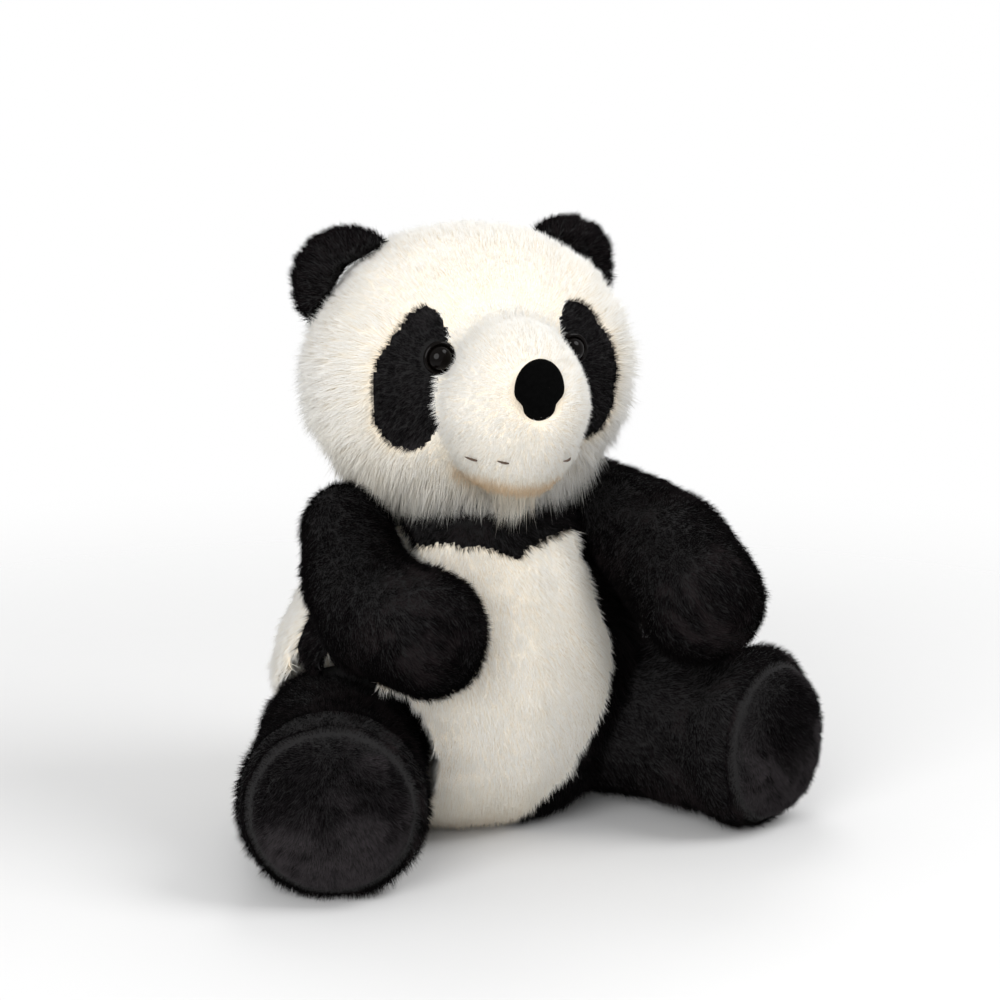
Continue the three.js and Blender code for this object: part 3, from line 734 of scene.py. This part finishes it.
# Where a point lies in the bare place under the nose: below 1 inside it.
def nosePlace(here):
    return np.linalg.norm((here - noseMiddle) / noseSpace, axis=1)


# The cover of a surface whose fur grows all over it.
def everywhere(points):
    return np.ones(len(points))


# Which points lie on an eye patch, on the muzzle's short pile, and clear of the eyes and nose.
def onPatch(here):
    ragged = (softNoise(here, 0.005, 71) - 0.5) * 0.10
    inside = np.minimum(patchPlace(here, 1), patchPlace(here, -1)) + ragged
    return (inside < 1) & (here[:, 1] < 0) & (muzzlePlace(here) > 1.0)


def onMuzzle(here):
    return (muzzlePlace(here) < 1.07) & (here[:, 1] < -0.045) & (here[:, 2] > -0.047)


def bareFace(here):
    return (eyeSpace(here) > 7.8 * mm) & (nosePlace(here) > 1)


# Painted shade in the head's pile, darker and warmer: low on the right cheek, under the chin, in the
# crease round the muzzle and under the lip. Soft is a slow drift, grain the strands' difference.
headPaintedShade = {
    "bright": 0.94, "soft": 0.12, "softSize": 12 * mm, "grain": 0.06, "front": (-0.02, -0.05),
    "cheek": 0.30, "cheekSide": (0.005, 0.06), "cheekLow": (0.0, -0.045),
    "chin": 0.12, "chinLow": (-0.03, -0.06),
    "crease": 0.34, "creaseAt": 1.1, "creaseWide": 0.09, "creaseLow": (0.015, -0.02),
    "lip": 0.80, "lipRise": -0.042, "lipCurve": 5, "lipWide": 5.5 * mm, "lipSide": (0.028, 0.018),
}


# The head's tone: bright, less each painted shade times its smooth steps or its bell curve.
def headTone(points, rng):
    here, shadeAndTint = toHead(points), headPaintedShade
    across, rise = here[:, 0], here[:, 2]
    front = smoothStep(*shadeAndTint["front"], here[:, 1])
    # Painted shade low on the right cheek and under the chin.
    cheekChinShade = shadeAndTint["cheek"] * smoothStep(*shadeAndTint["cheekSide"], -across) * smoothStep(*shadeAndTint["cheekLow"], rise)
    cheekChinShade += shadeAndTint["chin"] * smoothStep(*shadeAndTint["chinLow"], rise)
    # Painted shade in the crease round the muzzle.
    crease = shadeAndTint["crease"] * np.exp(-((muzzlePlace(here) - shadeAndTint["creaseAt"]) / shadeAndTint["creaseWide"]) ** 2)
    crease *= smoothStep(*shadeAndTint["creaseLow"], rise) * front
    # Painted shade under the lip, where the muzzle's underside is shaded.
    lipLine = shadeAndTint["lipRise"] + shadeAndTint["lipCurve"] * across ** 2
    lip = shadeAndTint["lip"] * np.exp(-((rise - lipLine) / shadeAndTint["lipWide"]) ** 2)
    lip *= smoothStep(*shadeAndTint["lipSide"], np.abs(across)) * front
    soft = softNoise(points, shadeAndTint["softSize"], 81) * shadeAndTint["soft"]
    return shadeAndTint["bright"] - cheekChinShade - crease - lip - soft + rng.normal(size=len(points)) * shadeAndTint["grain"]


# How the head's pile lies: its shares of down over the cheeks and of back over the crown, and the
# heights and places between which its length and its hang change.
headPile = {
    "parting": 0.012, "down": 0.9, "downEdge": (0.03, -0.03), "back": 0.45,
    "muzzle": 0.5, "muzzleEdge": (1.1, 1.6), "underEdge": (-0.045, -0.05),
    "eye": 0.3, "eyeEdge": (0.008, 0.02),
    "low": 0.35, "lowEdge": (-0.02, -0.05), "fringe": 1.3, "fringeEdge": (-0.038, -0.052),
    "cheek": 0.45, "cheekSide": (0.036, 0.055), "cheekTop": (0.03, 0.0),
    "crown": 0.3, "crownEdge": (0.02, 0.045),
    "droop": 1.5, "droopEdge": (-0.03, -0.052),
}


# Away from the muzzle over the face, back over the crown, and down over the cheeks.
def headComb(points, normals):
    here = toHead(points)
    away = unit(here * np.array([1, 0, 1]) + np.array([0, 0, headPile["parting"]]))
    down = smoothStep(*headPile["downEdge"], here[:, 2])[:, None] * np.array([0, 0, -headPile["down"]])
    back = np.array([0, headPile["back"], 0])
    return (away + down + back) @ headAxes


# Short on the muzzle, round the eyes and on the crown, longer on the cheeks, longest under the
# chin: a product of smooth steps.
def headStretch(points):
    here, pile = toHead(points), headPile
    rise = here[:, 2]
    near = smoothStep(*pile["muzzleEdge"], muzzlePlace(here))
    near = np.maximum(near, smoothStep(*pile["underEdge"], rise))
    longer = 1 + pile["low"] * smoothStep(*pile["lowEdge"], rise)
    longer += pile["fringe"] * smoothStep(*pile["fringeEdge"], rise)
    cheek = smoothStep(*pile["cheekSide"], np.abs(here[:, 0])) * smoothStep(*pile["cheekTop"], rise)
    longer += pile["cheek"] * cheek
    muzzleShare = 1 - pile["muzzle"] * (1 - near)
    eyeShare = 1 - pile["eye"] * (1 - smoothStep(*pile["eyeEdge"], eyeSpace(here)))
    return muzzleShare * eyeShare * longer * (1 - pile["crown"] * smoothStep(*pile["crownEdge"], rise))


# The fringe under the head hangs down.
def headDroop(points):
    return headPile["droop"] * smoothStep(*headPile["droopEdge"], toHead(points)[:, 2])


# Where the face's long pile grows.
def faceCover(points):
    here = toHead(points)
    return (here[:, 1] < 0) & ~onPatch(here) & ~onMuzzle(here) & bareFace(here)


# Mostly deep black, with painted sheen as greyer tips in soft patches and, if asked, low down; greyer on
# single strands at random.
def blackTone(middle, spread=0.17, low=0):
    def tone(points, rng):
        # Painted sheen: greyer tips in soft patches.
        soft = smoothStep(0.4, 0.8, softNoise(points, 0.02, 91))
        soft *= smoothStep(0.3, 0.7, softNoise(points, 0.006, 92))
        # Painted sheen low down, where it is asked for.
        lowSheen = low * smoothStep(0.055, 0.015, points[:, 2]) * (0.5 + softNoise(points, 0.004, 93))
        return middle + soft * 0.45 + lowSheen + rng.normal(size=len(points)) * spread
    return tone


head = surfaces["head"]
growFur("furFace", head, furLike(longFur, density=1.9e6), whiteFur, "head", faceCover,
        headComb, headTone, headStretch, headDroop)
growFur("furHeadBack", head, furLike(longFur, salt=2, density=1.5e6), whiteFur, "head",
        lambda p: toHead(p)[:, 1] >= 0, headComb, headTone, headStretch, headDroop)
growFur("furMuzzle", head,
        furLike(longFur, salt=3, density=4e6, length=5 * mm, tuft=3 * mm, radius=0.15 * mm),
        whiteFur, "head",
        lambda p: onMuzzle(toHead(p)) & bareFace(toHead(p)) & ~onPatch(toHead(p)),
        headComb, headTone, None)
for side, sign in sideSign.items():
    title = side.capitalize()
    growFur("furPatch" + title, head,
            furLike(longFur, salt=4, density=4.5e6, length=4 * mm, tuft=3 * mm, radius=0.15 * mm, lift=0.5),
            shortFur, "head",
            lambda p: onPatch(toHead(p)) & bareFace(toHead(p)) & (toHead(p)[:, 0] * sign > 0),
            headComb, blackTone(0.45), None)


# Out from the middle of the ear's foot, towards its rim.
def earComb(side):
    foot = nodeMiddle("ear_front_" + side, "ear_back_" + side) * 0.65 + headMiddle * 0.35
    return lambda points, normals: points - foot


for side in sideSign:
    title = side.capitalize()
    growFur("furEar" + title, surfaces["ear" + title],
            furLike(longFur, salt=5, density=3.4e6, length=6 * mm, tuft=3.5 * mm, radius=0.17 * mm, lift=0.5),
            blackFur, "head", everywhere, earComb(side), blackTone(0.5), None)


# Gives the faces whose middle is in a region another material.
def paintFaces(obj, region, material):
    mesh = obj.data
    middles = np.empty(len(mesh.polygons) * 3, np.float32)
    mesh.polygons.foreach_get("center", middles)
    mesh.materials.append(material)
    mesh.polygons.foreach_set("material_index", region(middles.reshape(-1, 3).astype(float)).astype(np.int32))


paintFaces(bodies["head"], lambda p: onPatch(toHead(p)), blackBacking)


yoke = {"low": 0.131, "rise": 0.007, "wide": 0.058, "raggedSize": 5 * mm, "ragged": 3 * mm}


# Height of the lower edge of the black collar: two shallow arches that meet in a dip.
def yokeEdge(across):
    part = np.clip(np.abs(across) / yoke["wide"], 0, 1)
    return yoke["low"] + yoke["rise"] * (1 - (2 * part - 1) ** 2)


limbs = [surfaces[kind + side.capitalize()] for side in sideSign for kind in ("arm", "leg")]
torsoHull = hullSurface(surfaces["torso"])


# Which points are outside every limb, or no deeper in one than a millimetre.
def clearOfLimbs(points):
    return np.min([outside(points, limb) for limb in limbs], axis=0) > -mm


# Down, and a little away from the sides.
def torsoComb(points, normals):
    return np.array([0, 0, -1.0]) + normals * np.array([0.3, 0.3, 0])


# Its low is painted shade, beige at the bottom of the belly.
torsoShadeAndTint = {"bright": 0.90, "soft": 0.12, "softSize": 14 * mm, "grain": 0.06,
             "low": 0.50, "lowEdge": (0.045, 0.0), "left": 0.16, "leftEdge": (0.02, 0.05),
             "crease": 0.10, "creaseAt": 2 * mm, "creaseWide": 2 * mm}


# Beige low down, which is painted shade, and towards the left edge of the bib, with a faint crease down the
# middle.
def torsoTone(points, rng):
    x, y, z = points.T
    shadeAndTint = torsoShadeAndTint
    # Painted shade, beige, low down on the belly.
    low = shadeAndTint["low"] * smoothStep(*shadeAndTint["lowEdge"], z)
    left = shadeAndTint["left"] * smoothStep(*shadeAndTint["leftEdge"], x) * (y < 0)
    crease = shadeAndTint["crease"] * np.exp(-((x - shadeAndTint["creaseAt"]) / shadeAndTint["creaseWide"]) ** 2) * (y < 0)
    soft = softNoise(points, shadeAndTint["softSize"], 82) * shadeAndTint["soft"]
    return shadeAndTint["bright"] - low - left - crease - soft + rng.normal(size=len(points)) * shadeAndTint["grain"]


# Which points are above the collar's lower edge, which is a little ragged.
def collar(points):
    ragged = (softNoise(points, yoke["raggedSize"], 73) - 0.5) * yoke["ragged"]
    return points[:, 2] > yokeEdge(points[:, 0]) + ragged


# The white bib's half width at heights above the seat, and how much wider it is on the right below
# the arm. The black beside it ends at the side seam, or deeper under the left armpit.
bib = {"heights": [0, 0.015, 0.03, 0.06, 0.08, 0.105, 0.125],
       "halves": [0.002, 0.011, 0.025, 0.041, 0.049, 0.043, 0.039],
       "seam": 0.006, "deep": 0.035, "armpit": 0.11, "right": 0.03, "rightTop": (0.11, 0.095), "seat": 4 * mm}


# Which points of the torso are black: the collar, and beside the bib as far back as the seam.
def blackTorso(points):
    x, y, z = points.T
    ragged = (softNoise(points, yoke["raggedSize"], 74) - 0.5) * yoke["ragged"]
    wide = np.interp(z, bib["heights"], bib["halves"]) + ragged
    wide += np.where(x < 0, bib["right"] * smoothStep(*bib["rightTop"], z), 0)
    seam = np.where((x > 0) & (z < bib["armpit"]), bib["deep"], bib["seam"])
    return collar(points) | ((np.abs(x) > wide) & (y < seam))


armpit = {"longer": 1.1, "side": (0.03, 0.05), "front": (0.03, 0.015),
          "low": (0.03, 0.05), "high": (0.115, 0.095)}


# Longer below the left armpit, where it closes the space between the arm and the side.
def yokeStretch(points):
    x, y, z = points.T
    near = smoothStep(*armpit["side"], x) * smoothStep(*armpit["front"], y)
    return 1 + armpit["longer"] * near * smoothStep(*armpit["low"], z) * smoothStep(*armpit["high"], z)


# The white pile's cover: the front as far as the side seam, or the back behind it.
def whiteTorso(front):
    return lambda p: ~blackTorso(p) & ((p[:, 1] < bib["seam"]) == front) & (p[:, 2] > bib["seat"])


paintFaces(bodies["torso"], blackTorso, blackBacking)
torso = surfaces["torso"]
shown = torso["triangles"][outside(torso["points"], torsoHull)[torso["triangles"]].max(1) > -0.004]
shown = shown[clearOfLimbs(torso["points"][shown].mean(1))]
torsoShown = {**torso, "triangles": shown}
bodyFur = furLike(longFur, density=2.6e6, length=6.5 * mm, radius=0.15 * mm, lift=0.5, tuftTurn=0.12,
                  wave=0.22, pull=0.26)
growFur("furBelly", torsoShown, furLike(bodyFur, salt=6), whiteFur, "torso",
        whiteTorso(True), torsoComb, torsoTone, None)
growFur("furBack", torsoShown,
        furLike(bodyFur, salt=7, density=1.4e6, radius=0.2 * mm, length=7.5 * mm),
        whiteFur, "torso",
        whiteTorso(False), torsoComb, torsoTone, None)
growFur("furYoke", torsoShown, furLike(longFur, salt=8, density=2.1e6), blackFur, "torso",
        lambda p: blackTorso(p) & (p[:, 2] > bib["seat"]), torsoComb, blackTone(0.4), yokeStretch)
growFur("furTail", surfaces["tail"], furLike(longFur, salt=9, density=2e6), whiteFur, "torso",
        everywhere, torsoComb, torsoTone, None)
growFur("furNeck", surfaces["neck"], furLike(longFur, salt=10, density=1.0e6, length=6 * mm),
        blackFur, "neck", everywhere, torsoComb, blackTone(0.3), None)


# From the shoulder towards the paw, and a little down.
def armComb(side):
    shoulder = jointPlace["arm_raise_" + side]
    stuffing = readPoints(frame["nodes"]["arm_stuffing_" + side].data)
    paw = stuffing[np.argsort(stuffing[:, 1])[:len(stuffing) // 4]].mean(0)
    return lambda points, normals: unit(points - shoulder) + unit(paw - points) + np.array([0, 0, -0.25])


# Along the leg to the sole, then outwards round its rounded edge.
def legComb(side):
    axis = legAxis[side]

    def comb(points, normals):
        along, radius = legPlace(points, side)
        outward = points - jointPlace["leg_spread_" + side] - along[:, None] * axis
        end = smoothStep(sole["from"], sole["tip"], along)[:, None]
        return axis * (1 - end) + unit(outward) * end + np.array([0, 0, -0.25])
    return comb


# The short pile of a sole lies downwards and a little outwards.
def soleComb(side):
    def comb(points, normals):
        along, radius = legPlace(points, side)
        outward = points - jointPlace["leg_spread_" + side] - along[:, None] * legAxis[side]
        return unit(outward) * 0.35 + noiseVector(points, 0.012, 17) * 0.5 + np.array([0, 0, -0.9])
    return comb


# Which points are on the sole's pad.
def soleCover(points, side):
    along, radius = legPlace(points, side)
    return (along > sole["cover"]) & (radius < sole["pad"])


# Shorter pile in the seam round the sole's pad: one less a bell curve.
def seamStretch(side):
    def stretch(points):
        along, radius = legPlace(points, side)
        bell = np.exp(-((radius - sole["pad"]) / sole["short"]) ** 2)
        return 1 - sole["shorter"] * smoothStep(sole["from"], sole["to"], along) * bell
    return stretch


limbFur = furLike(longFur, salt=11, density=2.6e6, length=7 * mm, radius=0.165 * mm, lift=0.48,
                  tuft=6 * mm, tuftTurn=0.12, pull=0.28, wave=0.34, waveSize=16 * mm)
for side in sideSign:
    title = side.capitalize()
    arm = surfaces["arm" + title]
    out = outside(arm["points"], torsoHull)
    shown = (out > -0.006)[arm["triangles"]].any(1)
    growFur("furArm" + title, {**arm, "triangles": arm["triangles"][shown]}, limbFur,
            blackFur, "arm_" + side, everywhere, armComb(side), blackTone(0.42), None)
    leg = surfaces["leg" + title]
    out = outside(leg["points"], torsoHull)
    shown = (out > -0.006)[leg["triangles"]].any(1)
    legShown = {**leg, "triangles": leg["triangles"][shown]}
    growFur("furLeg" + title, legShown, furLike(limbFur, salt=12, density=1.8e6), blackFur, "leg_" + side,
            lambda p: ~soleCover(p, side) & (p[:, 2] > 0.002), legComb(side),
            blackTone(0.42), seamStretch(side))
    # The sole's pile has painted sheen low down.
    growFur("furSole" + title, legShown,
            furLike(limbFur, salt=13, density=5e6, length=5 * mm, tuft=4 * mm, radius=0.15 * mm, lift=0.75),
            shortFur, "leg_" + side, lambda p: soleCover(p, side), soleComb(side),
            blackTone(0.42, low=0.5), seamStretch(side))


# A turned form: radii and heights along an axis, as rings about it.
def turnedForm(profile, middle, axis, columns=48):
    across = unit(np.cross(axis, up))
    over = np.cross(axis, across)
    angle = np.arange(columns) / columns * 2 * math.pi
    ring = across * np.cos(angle)[:, None] + over * np.sin(angle)[:, None]
    radius, height = profile[:, 0], profile[:, 1]
    points = middle + radius[:, None, None] * ring + height[:, None, None] * axis
    return points.reshape(-1, 3), closedGrid(len(profile), columns)


glossEye, eyeShader = newMaterial("glossEye", 0.06, IOR=1.45, Specular_IOR_Level=0.12)
eyeShader.inputs["Base Color"].default_value = (0.0025, 0.0018, 0.0016, 1)
eye = {"dome": 5.6 * mm, "rise": 4.6 * mm, "rim": 7.6 * mm, "rimThick": 2.4 * mm}
for side in sideSign:
    title = side.capitalize()
    rimMiddle = nodeMiddle("eye_rim_" + side)
    domeMiddle = nodeMiddle("eye_" + side)
    axis = unit(rimMiddle - domeMiddle)
    turn = np.linspace(0, math.pi / 2, 16)
    dome = np.stack([eye["dome"] * np.sin(turn), eye["rise"] * np.cos(turn)], 1)
    profile = np.vstack([dome, [[eye["dome"], -0.003], [0, -0.003]]])
    points, faces = turnedForm(profile, rimMiddle, axis)
    lens = meshObject("eyeLens" + title, points, faces, glossEye)
    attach(lens, "head")
    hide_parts("eye_" + side)
    bead = np.linspace(0, 2 * math.pi, 25)
    ringMiddle = (eye["dome"] + eye["rim"]) / 2
    half = (eye["rim"] - eye["dome"]) / 2
    profile = np.stack([ringMiddle - half * np.cos(bead), eye["rimThick"] / 2 * np.sin(bead)], 1)
    points, faces = turnedForm(profile, rimMiddle, axis)
    rim = meshObject("eyeRim" + title, points, faces, glossEye)
    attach(rim, "head")
    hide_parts("eye_rim_" + side)

noseFlock = backingMaterial("noseFlock", (0.0006, 0.0006, 0.0006), (0.0014, 0.0014, 0.0014), 0.002, 1.0)
noseFlock.node_tree.nodes["Principled BSDF"].inputs["Specular IOR Level"].default_value = 0.04
noseForm = {"wide": 11.4 * mm, "tall": 13.6 * mm, "deep": 4.6 * mm}


# The nose pad: a rounded form that is notched below its middle, so that a narrower lobe hangs
# from a wide oval.
def noseMesh():
    rows, columns = 32, 48
    v = np.linspace(0, math.pi, rows)[:, None]
    u = np.arange(columns)[None] / columns * 2 * math.pi
    across = np.sin(v) * np.cos(u)
    rise = np.sin(v) * np.sin(u)
    deep = np.cos(v) * np.ones_like(u)
    narrow = 1 - 0.24 * np.exp(-((rise + 0.5) / 0.2) ** 2) - 0.1 * smoothStep(-0.5, -0.9, rise)
    sizes = np.array([noseForm["wide"], -noseForm["deep"], noseForm["tall"]])
    points = np.stack([across * narrow, deep, rise], -1) * sizes
    return fromHead(points.reshape(-1, 3) + noseMiddle), closedGrid(rows, columns)


points, faces = noseMesh()
nose = meshObject("nosePad", points, faces, noseFlock)
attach(nose, "head")
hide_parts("nose")

washerPlastic = backingMaterial("washerPlastic", (0.78, 0.78, 0.75), (0.86, 0.86, 0.84), 0.01, 0.5)
for side in sideSign:
    node = frame["nodes"]["eye_washer_" + side]
    node.data.materials.clear()
    node.data.materials.append(washerPlastic)
stitchThread = backingMaterial("stitchThread", (0.05, 0.03, 0.018), (0.10, 0.06, 0.04), 0.002, 0.8)
mouth = {"rise": -0.0295, "thread": 0.55 * mm, "steps": 9, "sides": 8, "proud": 3.2 * mm,
         "stitches": [(-0.0275, -0.0235, 0.001), (-0.0175, -0.0125, 0.001), (0.0125, 0.017, -0.001)]}


# The front of the muzzle at points across it and up it: its rounded form solved for depth.
def muzzleFront(across, rise):
    half = muzzle["half"]
    inside = 1 - (across / half[0]) ** 2 - ((rise + muzzle["drop"]) / half[2]) ** 2
    return -muzzle["forward"] - half[1] * np.sqrt(np.clip(inside, 0, 1))


# Stitches of thread that lie on the pile along the lip and dive into it at both ends: each is a
# round section carried along a shallow arc.
def stitchMesh():
    allPoints, allFaces = [], []
    for start, end, slope in mouth["stitches"]:
        part = np.linspace(0, 1, mouth["steps"])
        across = start + (end - start) * part
        rise = mouth["rise"] + slope * (1 - part)
        bow = np.sin(part * math.pi)
        deep = muzzleFront(across, rise) - mouth["proud"] * (0.35 + 0.65 * bow)
        line = np.stack([across, deep, rise], 1)
        along = unit(np.gradient(line, axis=0))
        side = unit(np.cross(along, up))
        over = np.cross(side, along)
        angle = np.arange(mouth["sides"]) / mouth["sides"] * 2 * math.pi
        ring = side[:, None] * np.cos(angle)[:, None] + over[:, None] * np.sin(angle)[:, None]
        wide = mouth["thread"] * np.sqrt(np.clip(bow, 0, 1))[:, None, None]
        already = len(allPoints) * mouth["steps"] * mouth["sides"]
        allFaces.append(closedGrid(mouth["steps"], mouth["sides"]) + already)
        allPoints.append((line[:, None] + ring * wide).reshape(-1, 3))
    return fromHead(np.vstack(allPoints)), np.vstack(allFaces)


points, faces = stitchMesh()
stitches = meshObject("mouthStitches", points, faces, stitchThread)
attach(stitches, "head")
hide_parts("mouth_thread")


# The camera stands to the panda's right front, a little above it.
viewer = {"azimuth": -28, "elevation": 12.5, "distance": 1.5, "aside": 0.016, "height": 0.148, "lens": 117.4}


# A unit vector towards a point seen from the panda: azimuth 0 is its front, 90 its left.
def towards(azimuth, elevation):
    a, e = math.radians(azimuth), math.radians(elevation)
    return np.array([math.sin(a) * math.cos(e), -math.cos(a) * math.cos(e), math.sin(e)])


# A matrix that puts an object at a place and turns its -Z axis to a target.
def lookAt(place, target):
    back = unit(place - target)
    right = unit(np.cross(up, back))
    matrix = np.eye(4)
    matrix[:3, :3] = np.stack([right, np.cross(back, right), back], axis=1)
    matrix[:3, 3] = place
    return Matrix(matrix.tolist())


def makeCamera():
    back = towards(viewer["azimuth"], viewer["elevation"])
    right = unit(np.cross(up, back))
    target = right * viewer["aside"] + up * viewer["height"]
    camera = bpy.data.objects.new("camera", bpy.data.cameras.new("camera"))
    camera.data.lens = viewer["lens"]
    camera.matrix_world = lookAt(target + back * viewer["distance"], target)
    scene.collection.objects.link(camera)
    scene.camera = camera


ambientLight = 0.58
studio = {
    "key": {"azimuth": 45, "elevation": 47, "distance": 1.6, "size": 0.9, "power": 13},
    "fill": {"azimuth": -45, "elevation": 20, "distance": 1.8, "size": 1.4, "power": 29},
    "back": {"azimuth": 150, "elevation": 50, "distance": 1.6, "size": 0.8, "power": 6},
}


# The floor fades out into the white backdrop between these distances from the toy.
floorFade = {"half": 1.0, "near": 0.24, "far": 0.75}


def makeStudio():
    for name, light in studio.items():
        lamp = bpy.data.lights.new(name, "AREA")
        lamp.shape = "DISK"
        lamp.size = light["size"]
        lamp.energy = light["power"]
        obj = bpy.data.objects.new(name, lamp)
        middle = up * 0.12
        place = middle + towards(light["azimuth"], light["elevation"]) * light["distance"]
        obj.matrix_world = lookAt(place, middle)
        scene.collection.objects.link(obj)
    world = bpy.data.worlds.new("studio")
    world.use_nodes = True
    nodes, links = world.node_tree.nodes, world.node_tree.links
    ambient = nodes["Background"]
    ambient.inputs["Color"].default_value = (1, 1, 1, 1)
    ambient.inputs["Strength"].default_value = ambientLight
    backdrop = nodes.new("ShaderNodeBackground")
    backdrop.inputs["Color"].default_value = (1, 1, 1, 1)
    rays = nodes.new("ShaderNodeLightPath")
    mix = nodes.new("ShaderNodeMixShader")
    links.new(rays.outputs["Is Camera Ray"], mix.inputs["Fac"])
    links.new(ambient.outputs["Background"], mix.inputs[1])
    links.new(backdrop.outputs["Background"], mix.inputs[2])
    links.new(mix.outputs["Shader"], nodes["World Output"].inputs["Surface"])
    scene.world = world
    scene.view_settings.view_transform = "Standard"
    paper, shader = newMaterial("paper", 0.9)
    shader.inputs["Base Color"].default_value = (0.72, 0.72, 0.72, 1)
    half = floorFade["half"]
    nodes, links = paper.node_tree.nodes, paper.node_tree.links
    place = nodes.new("ShaderNodeTexCoord")
    away = nodes.new("ShaderNodeVectorMath")
    away.operation = "LENGTH"
    fade = nodes.new("ShaderNodeMapRange")
    fade.interpolation_type = "SMOOTHSTEP"
    fade.inputs["From Min"].default_value = floorFade["near"]
    fade.inputs["From Max"].default_value = floorFade["far"]
    clear = nodes.new("ShaderNodeBsdfTransparent")
    mix = nodes.new("ShaderNodeMixShader")
    links.new(place.outputs["Object"], away.inputs[0])
    links.new(away.outputs["Value"], fade.inputs["Value"])
    links.new(fade.outputs["Result"], mix.inputs["Fac"])
    links.new(shader.outputs["BSDF"], mix.inputs[1])
    links.new(clear.outputs["BSDF"], mix.inputs[2])
    links.new(mix.outputs["Shader"], nodes["Material Output"].inputs["Surface"])
    corners = np.array([[-half, -half, 0], [half, -half, 0], [half, half, 0], [-half, half, 0]])
    floor = meshObject("floor", corners, np.array([[0, 1, 2, 3]]), paper, smooth=False)


makeCamera()
makeStudio()
print("scene made")
